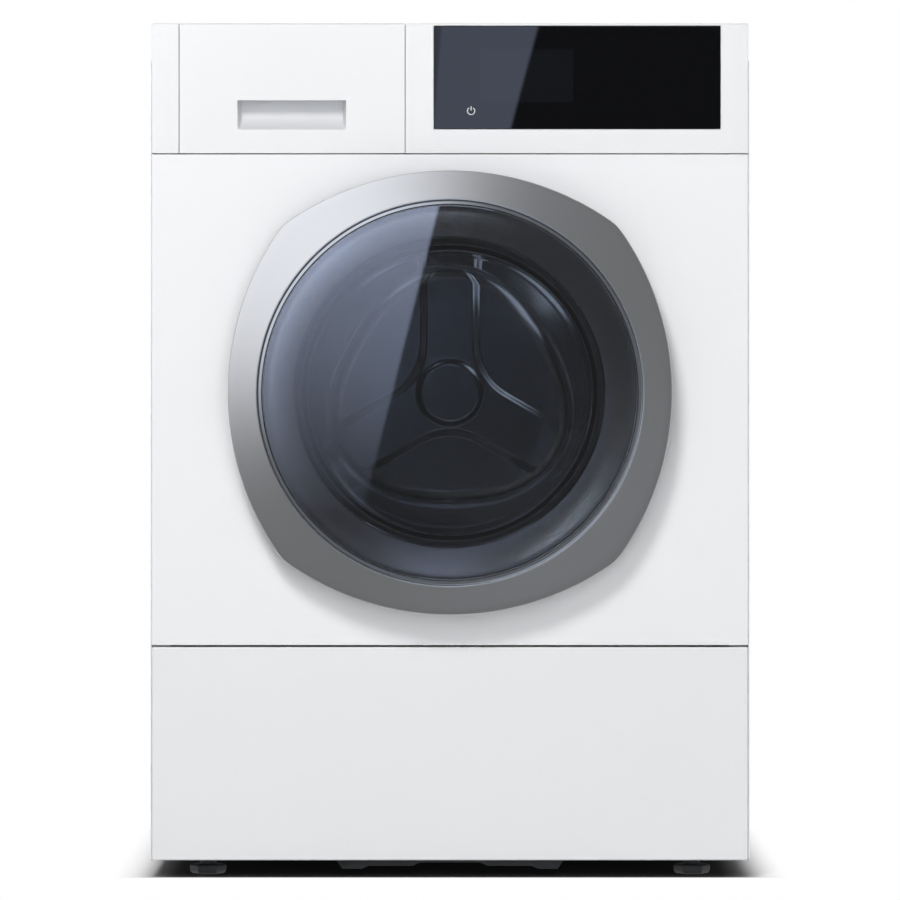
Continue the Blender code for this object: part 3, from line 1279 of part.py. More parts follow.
def make_tub_rear():
    """Rear half: flange, wall, back with ribs and bearing hub, lugs for springs, dampers and motor."""
    outer, inner, wall = TUB_OUTER, TUB_RADIUS, TUB_WALL
    start = TUB_JOINT_Y + GAP
    back = TUB_BACK_Y
    hole = SLEEVE_RADIUS / math.cos(math.pi / MID_SIDES) + GAP
    profile = [(inner, start), (outer + TUB_FLANGE, start), (outer + TUB_FLANGE, start + TUB_FLANGE_THICKNESS),
               (outer, start + TUB_FLANGE_THICKNESS), (outer, back - DRUM_CORNER), (outer - DRUM_CORNER, back),
               (HUB_RADIUS, back), (HUB_RADIUS, HUB_BACK_Y), (hole, HUB_BACK_Y), (hole, back - wall),
               (inner - DRUM_CORNER + wall, back - wall), (inner, back - DRUM_CORNER)]
    tub = turned("tub_rear_half", profile, GREY, (0, 0, DOOR_Z))
    for index in range(TUB_RIBS):
        join(tub, rib_mesh(math.tau * index / TUB_RIBS, back))
    half = SPRING_LUG_WIDTH / 2
    lug_foot = DOOR_Z + math.sqrt(inner ** 2 - (SPRING_X + half) ** 2)
    for x in (-SPRING_X, SPRING_X):
        grow_on_tub(tub, box_at((x - half, x + half),
                                (SPRING_Y - SPRING_LUG_DEPTH / 2, SPRING_Y + SPRING_LUG_DEPTH / 2),
                                (lug_foot, SPRING_LUG_Z)))
    pad = motor_y()[0] + MOTOR_LUG_THICKNESS
    half = MOTOR_LUG_HALF
    pad_top = DOOR_Z - math.sqrt(inner ** 2 - (MOTOR_X + half) ** 2)
    grow_on_tub(tub, box_at((MOTOR_X - half, MOTOR_X + half), (pad, pad + MOTOR_LUG_THICKNESS * 2),
                            (MOTOR_PAD_Z, pad_top)))
    return tub


def rib_mesh(angle, back):
    """Radial rib on the tub's back, between the hub and the rim."""
    low = HUB_RADIUS - TUB_WALL
    high = TUB_OUTER - DRUM_CORNER * 2
    half = TUB_RIB_THICKNESS / 2
    outline = [(low, back - TUB_WALL / 2), (high, back - TUB_WALL / 2), (high, back + TUB_WALL),
               (low, back + TUB_RIB_HEIGHT)]
    mesh = plate([[(a, -b) for a, b in outline]], "Z", -half, half)
    mesh.transform(Matrix.Translation((0, 0, DOOR_Z)) @ Matrix.Rotation(-angle, 4, "Y")
                   @ Matrix.Rotation(math.radians(0), 4, "X") @ Matrix.Scale(-1, 4, (0, 1, 0)))
    mesh.flip_normals()
    return mesh


def make_sleeve():
    """Bearing sleeve in the tub's hub."""
    inner = bore(SHAFT_RADIUS, MID_SIDES)
    start, end = TUB_BACK_Y - TUB_WALL, HUB_BACK_Y
    profile = [(inner, start), (SLEEVE_RADIUS, start), (SLEEVE_RADIUS, end), (inner, end)]
    return turned("bearing_sleeve", profile, STEEL, (0, 0, DOOR_Z), "Y", MID_SIDES)


def make_counterweight(name, start):
    """Curved concrete block on the tub's front."""
    end = start + 180 - 2 * COUNTERWEIGHT_START_DEG
    steps = COUNTERWEIGHT_STEPS
    outline = arc((0, DOOR_Z), COUNTERWEIGHT_OUTER, start, end, steps)
    outline += arc((0, DOOR_Z), COUNTERWEIGHT_INNER, end, start, steps)
    back = TUB_FRONT_Y - GAP
    return add_piece(name, plate([outline], "Y", back - COUNTERWEIGHT_THICKNESS, back), CONCRETE)


def make_heater():
    """Bent heating rod on its flange, lying in the sump."""
    front = TUB_FRONT_Y - GAP - HEATER_FLANGE_THICKNESS
    bend = arc((0, front + HEATER_LENGTH), HEATER_HALF, 180, 0, 8)
    points = [(-HEATER_HALF, front + HEATER_FLANGE_THICKNESS / 2, HEATER_Z)]
    points += [(x, y, HEATER_Z) for x, y in bend]
    points += [(HEATER_HALF, front + HEATER_FLANGE_THICKNESS / 2, HEATER_Z)]
    heater = add_piece("heater", mesh_of_curve(tube_curve(points, HEATER_RADIUS)), STEEL)
    join(heater, box_at((-HEATER_FLANGE_HALF, HEATER_FLANGE_HALF), (front, front + HEATER_FLANGE_THICKNESS),
                        (HEATER_Z - HEATER_FLANGE_HEIGHT / 2, HEATER_Z + HEATER_FLANGE_HEIGHT / 2)))
    return heater


def motor_y():
    """Front and rear ends of the motor's housing."""
    rear = PULLEY_FRONT_Y - MOTOR_REAR_ROOM
    return rear - MOTOR_LENGTH, rear


def make_motor():
    """Motor housing hung under the tub, and its rotor with the small pulley."""
    front, rear = motor_y()
    nose = MOTOR_NOSE
    room = bore(MOTOR_SHAFT_RADIUS)
    profile = [(0, front), (MOTOR_RADIUS - nose, front), (MOTOR_RADIUS, front + nose),
               (MOTOR_RADIUS, rear - nose), (MOTOR_RADIUS - nose, rear), (room, rear),
               (room, rear - MOTOR_SHAFT_DEPTH - GAP), (0, rear - MOTOR_SHAFT_DEPTH - GAP)]
    housing = turned("motor_housing", profile, DARK, (MOTOR_X, 0, MOTOR_Z), "Y", MID_SIDES)
    top = MOTOR_PAD_Z - GAP
    join(housing, box_at((MOTOR_X - MOTOR_LUG_HALF, MOTOR_X + MOTOR_LUG_HALF),
                         (front + MOTOR_LUG_THICKNESS, front + MOTOR_LUG_THICKNESS * 3),
                         (MOTOR_Z + MOTOR_RADIUS * 0.8, top)))
    low, high = PULLEY_FRONT_Y + MOTOR_PULLEY_MARGIN, PULLEY_FRONT_Y + PULLEY_WIDTH - MOTOR_PULLEY_MARGIN
    pulley, shaft = MOTOR_PULLEY_RADIUS, MOTOR_SHAFT_RADIUS
    spindle = [(0, rear - MOTOR_SHAFT_DEPTH), (shaft, rear - MOTOR_SHAFT_DEPTH), (shaft, low), (pulley, low),
               (pulley, high), (0, high)]
    rotor = turned("motor_rotor", spindle, STEEL, (MOTOR_X, 0, MOTOR_Z), "Y", MID_SIDES)
    return housing, rotor


def belt_outline(grow):
    """Loop round both pulleys, a given distance outside them."""
    big, small = PULLEY_RADIUS, MOTOR_PULLEY_RADIUS
    across, down = MOTOR_X, MOTOR_Z - DOOR_Z
    span = math.hypot(across, down)
    lean = math.degrees(math.atan2(down, across))
    open_deg = math.degrees(math.acos((big - small) / span))
    loose = GAP
    big_fit = (big + loose) / math.cos(math.pi / BIG_SIDES) + grow
    small_fit = (small + loose) / math.cos(math.pi / SMALL_SIDES) + grow
    points = arc((0, DOOR_Z), big_fit, lean + open_deg, lean + 360 - open_deg, BIG_SIDES)
    points += arc((MOTOR_X, MOTOR_Z), small_fit, lean - open_deg, lean + open_deg, SMALL_SIDES)
    return points


def make_belt():
    low, high = PULLEY_MID_Y - BELT_WIDTH / 2, PULLEY_MID_Y + BELT_WIDTH / 2
    return add_piece("drive_belt", plate([belt_outline(BELT_THICKNESS), belt_outline(0)], "Y", low, high), BLACK)


# Suspension

def make_spring(name, side):
    """Coil spring from the crossbar to the tub's lug, one unbroken wire."""
    low, high = SPRING_LUG_Z + GAP + SPRING_WIRE, SPRING_TOP_Z - GAP - SPRING_WIRE
    count = SPRING_TURNS * SPRING_TURN_POINTS
    points = []
    for step in range(count + 1):
        turn = math.tau * step / SPRING_TURN_POINTS
        points.append((side * SPRING_X + SPRING_COIL * math.cos(turn), SPRING_Y + SPRING_COIL * math.sin(turn),
                       low + (high - low) * step / count))
    pitch = (high - low) / SPRING_TURNS
    print(name, "least gap between turns in mm:", round((pitch - 2 * SPRING_WIRE) * 1000, 2))
    return add_piece(name, mesh_of_curve(tube_curve(points, SPRING_WIRE, 1)), ZINC)


def make_damper(side, word):
    """Damper cylinder on the base and its rod under the tub."""
    x = side * DAMPER_X
    low = BASE_TOP_FLOOR + GAP
    top = low + DAMPER_LENGTH
    bore_low = top - DAMPER_BORE_DEPTH
    hole = bore(DAMPER_ROD_RADIUS)
    body = [(0, low), (DAMPER_RADIUS, low), (DAMPER_RADIUS, top), (hole, top), (hole, bore_low), (0, bore_low)]
    cylinder = turned("damper_cylinder_" + word, body, DARK, (x, DAMPER_Y, 0), "Z", SMALL_SIDES)
    bottom = bore_low + TUB_FLOAT * 2
    head_top = damper_seat_z() - GAP
    head_low = DAMPER_LUG_Z - DAMPER_EYE
    stem = [(0, bottom), (DAMPER_ROD_RADIUS, bottom), (DAMPER_ROD_RADIUS, head_low), (DAMPER_EYE, head_low),
            (DAMPER_EYE, head_top), (0, head_top)]
    rod_piece = turned("damper_rod_" + word, stem, STEEL, (x, DAMPER_Y, 0), "Z", SMALL_SIDES)
    return cylinder, rod_piece


def damper_seat_z():
    """Underside of the tub above the damper's head, at the head's inner edge."""
    return DOOR_Z - math.sqrt(TUB_OUTER ** 2 - (DAMPER_X - DAMPER_EYE) ** 2)


# Drum

def make_drum_shell():
    """Spun shell with a rolled mouth."""
    outer, sheet = DRUM_RADIUS, DRUM_SHEET
    front, back = DRUM_FRONT_Y, DRUM_BACK_Y
    mouth, corner = DRUM_MOUTH_RADIUS, DRUM_CORNER
    bend = arc((outer - corner, front + corner), corner, -90, 0, 3)
    inside = arc((outer - corner, front + corner), corner - sheet, 0, -90, 3)
    profile = [(mouth, front + DRUM_LIP), (mouth, front)] + bend + [(outer, back), (outer - sheet, back)] + inside
    profile += [(mouth + sheet, front + sheet), (mouth + sheet, front + DRUM_LIP)]
    return turned("drum_shell", profile, STEEL, (0, 0, DOOR_Z))


def star_outline(width, reach, fillet):
    """Three arms with wide fillets between them, one arm straight up."""
    points = []
    half = width / 2
    gap_angle = math.pi / STAR_ARMS
    centre_out = (half + fillet) / math.sin(gap_angle)
    for arm in range(STAR_ARMS):
        lean = math.degrees(math.pi / 2 + arm * 2 * gap_angle)
        end = math.radians(lean)
        tip = math.sqrt(reach ** 2 - half ** 2)
        for side in (-1, 1):
            points.append((tip * math.cos(end) - side * half * math.sin(end),
                           DOOR_Z + tip * math.sin(end) + side * half * math.cos(end)))
        middle = end + gap_angle
        centre = (centre_out * math.cos(middle), DOOR_Z + centre_out * math.sin(middle))
        opening = 90 - math.degrees(gap_angle)
        toward = math.degrees(middle) + 180
        points += arc(centre, fillet, toward + opening, toward - opening, 6)
    return points


def make_drum_back():
    """Drum's back plate with the three-armed pressing and its hub disc."""
    radius = (DRUM_RADIUS - DRUM_SHEET) * math.cos(math.pi / BIG_SIDES) - GAP
    sheet = DRUM_SHEET
    back = DRUM_BACK_Y
    profile = [(0, back - sheet), (radius - sheet, back - sheet), (radius, back - sheet - DRUM_LIP / 2),
               (radius, back), (0, back)]
    plate_piece = turned("drum_back", profile, STEEL, (0, 0, DOOR_Z))
    star_front = back - sheet - STAR_RISE
    join(plate_piece, plate([star_outline(STAR_WIDTH, STAR_REACH, STAR_FILLET)], "Y", star_front, back - sheet / 2))
    join(plate_piece, rod(STAR_HUB_RADIUS, star_front - STAR_HUB_RISE, back - sheet / 2, (0, 0, DOOR_Z),
                          "Y", MID_SIDES))
    return plate_piece


def make_lifter(name, angle):
    """Hollow-looking paddle along the drum's wall, with sloping ends."""
    inside = (DRUM_RADIUS - DRUM_SHEET) * math.cos(math.pi / BIG_SIDES) - GAP
    base_r = math.sqrt(inside ** 2 - (LIFTER_BASE / 2) ** 2)
    front, back = DRUM_FRONT_Y + DRUM_CORNER, DRUM_BACK_Y - DRUM_SHEET - DRUM_LIP / 2 - GAP
    rows = []
    for y, share in ((front, 0.25), (front + LIFTER_END, 0.8), (front + LIFTER_END * 3, 1.0),
                     (back - LIFTER_END * 3, 1.0), (back - LIFTER_END, 0.8), (back, 0.25)):
        top, low_half = base_r - LIFTER_HEIGHT * share, LIFTER_BASE / 2
        top_half = low_half + (LIFTER_TOP / 2 - low_half) * share
        shape = [(base_r, -low_half), (top + LIFTER_TOP / 4, -top_half), (top, -top_half * 0.6),
                 (top, top_half * 0.6), (top + LIFTER_TOP / 4, top_half), (base_r, low_half)]
        rows.append([(r * math.cos(angle) - s * math.sin(angle), y,
                      DOOR_Z + r * math.sin(angle) + s * math.cos(angle)) for r, s in shape])
    return loft(name, rows, PALE, closed_round=False, capped=True)


def make_spider():
    """Cast three-armed carrier behind the drum's back."""
    front = DRUM_BACK_Y + GAP
    spider = add_piece("drum_spider", plate([star_outline(SPIDER_ARM, SPIDER_REACH, STAR_FILLET / 3)], "Y",
                                            front, front + SPIDER_DEPTH), ALLOY)
    cut(spider, rod(bore(SHAFT_RADIUS, MID_SIDES), front - OVERRUN, front + SPIDER_DEPTH + OVERRUN,
                    (0, 0, DOOR_Z), "Y", MID_SIDES))
    return spider


def make_shaft():
    """Drum shaft with the nut that holds the pulley."""
    radius = SHAFT_RADIUS
    front, back = DRUM_BACK_Y + GAP * 2, PULLEY_FRONT_Y + PULLEY_WIDTH
    profile = [(0, front), (radius, front), (radius, back + GAP), (SHAFT_NUT_RADIUS, back + GAP),
               (SHAFT_NUT_RADIUS, back + SHAFT_NUT), (0, back + SHAFT_NUT)]
    return turned("drum_shaft", profile, STEEL, (0, 0, DOOR_Z), "Y", MID_SIDES)


def make_pulley():
    """Large pulley: rim, pierced web and hub."""
    rim, web, hub = PULLEY_RADIUS, PULLEY_WEB / 2, PULLEY_HUB_RADIUS
    hole = bore(SHAFT_RADIUS, MID_SIDES)
    low, high, mid = PULLEY_FRONT_Y, PULLEY_FRONT_Y + PULLEY_WIDTH, PULLEY_MID_Y
    inner = rim - PULLEY_RIM
    profile = [(hole, low), (hub, low), (hub, mid - web), (inner, mid - web), (inner, low), (rim, low),
               (rim, high), (inner, high), (inner, mid + web), (hub, mid + web), (hub, high), (hole, high)]
    pulley = turned("drum_pulley", profile, ALLOY, (0, 0, DOOR_Z))
    for index in range(PULLEY_HOLES):
        turn = math.tau * index / PULLEY_HOLES
        place = (PULLEY_HOLE_CIRCLE * math.cos(turn), 0, DOOR_Z + PULLEY_HOLE_CIRCLE * math.sin(turn))
        cut(pulley, rod(PULLEY_HOLE_RADIUS, mid - OVERRUN / 2, mid + OVERRUN / 2, place))
    return pulley


# Lower front: flap, pump and filter

def make_service_flap():
    """Full-width lower cover with folded edges."""
    low, high = PLINTH_Z, FLAP_TOP
    flap = add_piece("service_flap", box_at((-COVER_HALF, COVER_HALF), (FACE_Y, FACE_Y + COVER_RETURN),
                                            (low, high)), WHITE)
    wall = FLAP_WALL
    room = COVER_HALF - wall
    cut(flap, box_at((-room, room), (FACE_Y + wall, FACE_Y + COVER_RETURN + OVERRUN), (low + wall, high - wall)))
    return flap


def make_drain_pump():
    """Pump body with filter chamber, inlet neck and foot."""
    front = INNER_FRONT_Y + PUMP_FRONT_ROOM
    back = front + PUMP_LENGTH
    hole = bore(CAP_PLUG_RADIUS, MID_SIDES)
    depth = front + CAP_PLUG_LENGTH + GAP
    profile = [(hole, front), (PUMP_RADIUS, front), (PUMP_RADIUS, back), (PUMP_MOTOR_RADIUS, back),
               (PUMP_MOTOR_RADIUS, back + PUMP_MOTOR_LENGTH), (0, back + PUMP_MOTOR_LENGTH), (0, depth),
               (hole, depth)]
    pump = turned("drain_pump", profile, GREY, (PUMP_X, 0, PUMP_Z), "Y", MID_SIDES)
    low = BASE_TOP_FLOOR + GAP
    join(pump, box_at((PUMP_X - PUMP_FOOT_HALF, PUMP_X + PUMP_FOOT_HALF), (front + CAP_PLUG_LENGTH * 2, back - GAP),
                      (low, PUMP_Z - PUMP_RADIUS / 2)))
    join(pump, rod(HOSE_RADIUS, PUMP_Z, PUMP_INLET_TOP, (PUMP_X, back - PUMP_INLET_DROP, 0), "Z"))
    return pump


def make_filter_cap():
    front = INNER_FRONT_Y + PUMP_FRONT_ROOM - GAP
    thick = CAP_THICKNESS
    profile = [(0, front - thick), (CAP_RADIUS - thick / 4, front - thick), (CAP_RADIUS, front - thick * 0.75),
               (CAP_RADIUS, front), (CAP_PLUG_RADIUS, front), (CAP_PLUG_RADIUS, front + CAP_PLUG_LENGTH),
               (0, front + CAP_PLUG_LENGTH)]
    cap = turned("filter_cap", profile, DARK, (PUMP_X, 0, PUMP_Z), "Y", MID_SIDES)
    join(cap, box_at((PUMP_X - CAP_GRIP_LENGTH / 2, PUMP_X + CAP_GRIP_LENGTH / 2),
                     (front - thick - CAP_GRIP_HEIGHT, front - thick / 2),
                     (PUMP_Z - CAP_GRIP_THICKNESS / 2, PUMP_Z + CAP_GRIP_THICKNESS / 2)))
    return cap


def smooth_route(start, out, into, end, lead, steps):
    """Points of one smooth curve between two ends, with a short straight lead at each."""
    first, last = Vector(start) + Vector(out) * lead, Vector(end) - Vector(into) * lead
    a, b, c, d = first, Vector(start) + Vector(out), Vector(end) - Vector(into), last
    points = [Vector(start)]
    for step in range(steps + 1):
        t = step / steps
        points.append(a * (1 - t) ** 3 + b * 3 * t * (1 - t) ** 2 + c * 3 * t * t * (1 - t) + d * t ** 3)
    points.append(Vector(end))
    return points


def make_sump_hose():
    start = (SUMP_OUTLET_X, SUMP_OUTLET_Y, SUMP_Z - SUMP_OUTLET_DROP - GAP)
    back = INNER_FRONT_Y + PUMP_FRONT_ROOM + PUMP_LENGTH
    end = (PUMP_X, back - PUMP_INLET_DROP, PUMP_INLET_TOP + GAP)
    bend = (start[2] - end[2]) * SUMP_HOSE_BEND_SHARE
    points = smooth_route(start, (0, 0, -bend), (0, 0, -bend), end, HOSE_LEAD_SHARE, 12)
    piece = bpy.data.objects.new("sump_hose", tube_curve(points, HOSE_RADIUS))
    machine.objects.link(piece)
    piece.data.materials.append(finish_of(RUBBER))
    return piece


# Rear fittings

def make_inlet_valve():
    """Water valve: threaded spout behind the panel, body and hose nipple inside."""
    out = BACK_Y + REAR_PROUD
    inside = BACK_Y - SHEET - GAP
    body_front = inside - VALVE_FLANGE_THICKNESS - VALVE_BODY
    profile = [(0, body_front - VALVE_NIPPLE), (VALVE_NIPPLE_RADIUS, body_front - VALVE_NIPPLE),
               (VALVE_NIPPLE_RADIUS, body_front), (VALVE_RADIUS, body_front),
               (VALVE_RADIUS, inside - VALVE_FLANGE_THICKNESS), (VALVE_FLANGE, inside - VALVE_FLANGE_THICKNESS),
               (VALVE_FLANGE, inside), (VALVE_RADIUS, inside), (VALVE_RADIUS, out), (VALVE_BORE, out),
               (VALVE_BORE, inside), (0, inside)]
    valve = turned("inlet_valve", profile, PALE, (VALVE_X, 0, VALVE_Z), "Y", SMALL_SIDES)
    return valve


def valve_nipple_y():
    return BACK_Y - SHEET - GAP - VALVE_FLANGE_THICKNESS - VALVE_BODY - VALVE_NIPPLE


def make_inlet_hose():
    start = (VALVE_X, valve_nipple_y() - GAP, VALVE_Z)
    end = (VALVE_X, TRAY_BACK_Y + HOUSING_BACK_ROOM + GAP, VALVE_Z)
    reach = (start[1] - end[1]) / 3
    points = smooth_route(start, (0, -reach, 0), (0, -reach, 0), end, HOSE_LEAD_SHARE, 8)
    piece = bpy.data.objects.new("inlet_hose", tube_curve(points, VALVE_NIPPLE_RADIUS))
    machine.objects.link(piece)
    piece.data.materials.append(finish_of(BLACK))
    return piece


def make_outlet_spigot():
    inside = BACK_Y - SHEET - GAP
    radius = SPIGOT_RADIUS
    hole = radius - BELLOWS_WALL
    profile = [(hole, inside - SPIGOT_INNER_LENGTH), (radius, inside - SPIGOT_INNER_LENGTH),
               (radius, inside - SPIGOT_FLANGE_THICKNESS), (SPIGOT_FLANGE, inside - SPIGOT_FLANGE_THICKNESS),
               (SPIGOT_FLANGE, inside), (radius, inside), (radius, BACK_Y + REAR_PROUD), (hole, BACK_Y + REAR_PROUD)]
    return turned("drain_outlet", profile, GREY, (SPIGOT_X, 0, SPIGOT_Z), "Y", SMALL_SIDES)


def make_gland():
    """Strain relief that the mains cable would leave through."""
    inside = BACK_Y - SHEET - SPIGOT_FLANGE_THICKNESS
    outside = BACK_Y + GAP
    profile = [(GLAND_BORE, inside), (GLAND_RADIUS, inside), (GLAND_RADIUS, outside), (GLAND_HEAD_RADIUS, outside),
               (GLAND_HEAD_RADIUS * 0.7, outside + GLAND_HEAD), (GLAND_BORE, outside + GLAND_HEAD)]
    return turned("cable_gland", profile, BLACK, (GLAND_X, 0, GLAND_Z), "Y", SMALL_SIDES)


def build():
    make_side_panel("side_panel_left", -1)
    make_side_panel("side_panel_right", 1)
    make_worktop()
    make_base_frame()
    make_front_panel()
    make_rear_panel()
    make_service_cover()
    make_crossbar()
    make_fascia()
    make_control_glass()
    make_control_board()
    make_dispenser_housing()
    make_fill_bellows()
    make_hinge_bracket()
    make_hinge_pin()
    make_door_lock()
    make_door_seal()
    make_drain_pump()
    make_sump_hose()
    make_inlet_valve()
    make_inlet_hose()
    make_outlet_spigot()
    make_gland()
    for foot in make_feet():
        foot.data.materials[0] = finish_of(BLACK)
    ring, glass, frame, bowl = make_door_ring(), make_door_glass(), make_door_frame(), make_door_bowl()
    arm, hook = make_hinge_arm(), make_latch_hook()
    carry("door_axis", (HINGE_X, HINGE_Y, DOOR_Z), [ring, frame, bowl, arm, glass])
    carry("latch_axis", (LATCH_X, DOOR_BACK_Y - LATCH_PIVOT_AHEAD, DOOR_Z), [hook])
    carry("drawer_slide", (DRAWER_LEFT, FACE_Y, FASCIA_BOTTOM), list(make_drawer()))
    carry("flap_axis", (0, FACE_Y + COVER_RETURN, PLINTH_Z), [make_service_flap()])
    make_filter_cap()
    make_tub_front()
    make_tub_rear()
    make_sleeve()
    make_counterweight("counterweight_upper", COUNTERWEIGHT_START_DEG)
    make_counterweight("counterweight_lower", 180 + COUNTERWEIGHT_START_DEG)
    make_heater()
    make_motor()
    make_belt()
    for side, word in ((-1, "left"), (1, "right")):
        make_spring("suspension_spring_" + word, side)
        make_damper(side, word)
    make_drum_shell()
    make_drum_back()
    for index in range(STAR_ARMS):
        make_lifter("lifter_%d" % (index + 1), math.radians(30 + 120 * index))
    make_spider()
    make_shaft()
    make_pulley()


clear_scene()
machine = new_group("washing_machine")
tools = new_group("cutters")
build()
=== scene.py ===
import json
from math import atan2, cos, degrees, hypot, pi, radians, remainder, sin, sqrt, tau
import bpy
import bmesh
from mathutils import Matrix, Vector
from mathutils.bvhtree import BVHTree


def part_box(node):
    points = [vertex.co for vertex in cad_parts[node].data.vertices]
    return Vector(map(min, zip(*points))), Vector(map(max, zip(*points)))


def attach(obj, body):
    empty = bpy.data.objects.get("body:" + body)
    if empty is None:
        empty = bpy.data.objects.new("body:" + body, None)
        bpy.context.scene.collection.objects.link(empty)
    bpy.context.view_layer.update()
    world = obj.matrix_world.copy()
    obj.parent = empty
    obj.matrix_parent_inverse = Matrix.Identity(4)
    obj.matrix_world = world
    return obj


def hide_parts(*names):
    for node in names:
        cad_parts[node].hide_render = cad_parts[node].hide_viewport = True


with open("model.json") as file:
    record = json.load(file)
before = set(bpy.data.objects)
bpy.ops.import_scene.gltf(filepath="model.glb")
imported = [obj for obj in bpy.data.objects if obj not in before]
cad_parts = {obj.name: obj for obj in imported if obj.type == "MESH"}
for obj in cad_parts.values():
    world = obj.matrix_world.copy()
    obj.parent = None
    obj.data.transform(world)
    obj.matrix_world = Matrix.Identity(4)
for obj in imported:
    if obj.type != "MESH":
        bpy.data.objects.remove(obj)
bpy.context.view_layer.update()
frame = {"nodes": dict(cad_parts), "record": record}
nodes = frame["nodes"]
record = frame["record"]
scene = bpy.context.scene
scene.view_settings.view_transform = "Standard"
bodyOf = {node: body for body, members in record["behaviour"]["bodies"].items() for node in members}
slotOf = {row["node"]: row["material_slot"] for row in record["subparts"]}
doorZ = 0.4825  # height of the door's and the drum's axis
print("frame loaded:", len(nodes), "nodes")


def pick(look, names):
    return [look[name] for name in names.split()]


# Camera: level, square to the front, from far off

cameraSet = {"distance": 5.5, "faceY": -0.280, "viewSpan": 0.8948, "middleZ": 0.42555, "film": 36.0,
             "farEnd": 60.0}


def makeCamera(look):
    data = bpy.data.cameras.new("frontCamera")
    data.sensor_width = look["film"]
    data.lens = look["film"] * look["distance"] / look["viewSpan"]
    data.shift_y = (look["middleZ"] - doorZ) / look["viewSpan"]
    data.clip_end = look["farEnd"]
    camera = bpy.data.objects.new("frontCamera", data)
    camera.location = (0.0, look["faceY"] - look["distance"], doorZ)
    camera.rotation_euler = (radians(90), 0.0, 0.0)
    scene.collection.objects.link(camera)
    scene.camera = camera


makeCamera(cameraSet)
print("camera set")


# Small helpers for node trees

class Wire:
    # A node's output that grows maths nodes out of plain arithmetic

    def __init__(self, node, output=0):
        self.tree = node.id_data
        self.socket = node.outputs[output]

    def maths(self, operation, other=None, swapped=False):
        pair = (other, self) if swapped else (self, other)
        values = {index: value for index, value in enumerate(pair) if value is not None}
        return Wire(addNode(self.tree, "Math", values, operation=operation))

    def __add__(self, other):
        return self.maths("ADD", other)

    def __sub__(self, other):
        return self.maths("SUBTRACT", other)

    def __rsub__(self, other):
        return self.maths("SUBTRACT", other, True)

    def __mul__(self, other):
        return self.maths("MULTIPLY", other)


def feed(node, values):
    # Each input gets a link from a wire, or a constant
    for key, value in values.items():
        if isinstance(value, Wire):
            node.id_data.links.new(value.socket, node.inputs[key])
        else:
            node.inputs[key].default_value = value


def addNode(tree, kind, values, **settings):
    node = tree.nodes.new("ShaderNode" + kind)
    for name, setting in settings.items():
        setattr(node, name, setting)
    feed(node, values)
    return node


def smoothRange(value, low, high, toLow=0.0, toHigh=1.0, kind="SMOOTHSTEP"):
    values = {"Value": value, "From Min": low, "From Max": high, "To Min": toLow, "To Max": toHigh}
    return Wire(addNode(value.tree, "MapRange", values, interpolation_type=kind))


def smoothFall(value, low, high, rest=0.0):
    return smoothRange(value, low, high, 1.0, rest)


def objectPlace(tree, stretch=(1, 1, 1), shift=(0, 0, 0)):
    place = Wire(addNode(tree, "TexCoord", {}), "Object")
    return Wire(addNode(tree, "Mapping", {"Vector": place, "Scale": stretch, "Location": shift}))


def axesOf(place):
    split = addNode(place.tree, "SeparateXYZ", {0: place})
    return [Wire(split, axis) for axis in "XYZ"]


def noiseOf(place, scale, detail=3.0, rough=0.5):
    values = {"Vector": place, "Scale": scale, "Detail": detail, "Roughness": rough}
    return Wire(addNode(place.tree, "TexNoise", values), "Fac")


def blendColours(factor, first, second):
    node = addNode(factor.tree, "ValToRGB", {0: factor})
    for element, colour in zip(node.color_ramp.elements, (first, second)):
        element.color = (*colour, 1)
    return Wire(node)


def mixColours(factor, first, second):
    return Wire(addNode(factor.tree, "Mix", {0: factor, 6: first, 7: second}, data_type="RGBA"), 2)


def mixShaders(factor, first, second):
    return Wire(addNode(factor.tree, "MixShader", {0: factor, 1: Wire(first), 2: Wire(second)}))


def bumpOf(height, distance):
    return Wire(addNode(height.tree, "Bump", {"Height": height, "Distance": distance, "Strength": 1.0}))


def newMaterial(name):
    material = bpy.data.materials.new(name)
    material.use_nodes = True
    tree = material.node_tree
    shader = next(node for node in tree.nodes if node.type == "BSDF_PRINCIPLED")
    return material, tree, shader


# Finishes

grainSpan = (0.3, 0.7)  # where the grain counts as low and as high


def tone(paintedShadeColour, light, rough, grain, fine, bump, **more):
    # Two colours, roughness range, scale of the grain that varies them, then scale of the bump and its
    # height in millionths of a metre
    return {"colours": (paintedShadeColour, light), "rough": rough, "grain": grain, "fine": fine, "bump": bump / 1e6} | more


gloss = {"coat": 0.35}
glossTone = (0.818, 0.823, 0.835), (0.821, 0.826, 0.838), (0.30, 0.32), 6.0, 900.0, 20


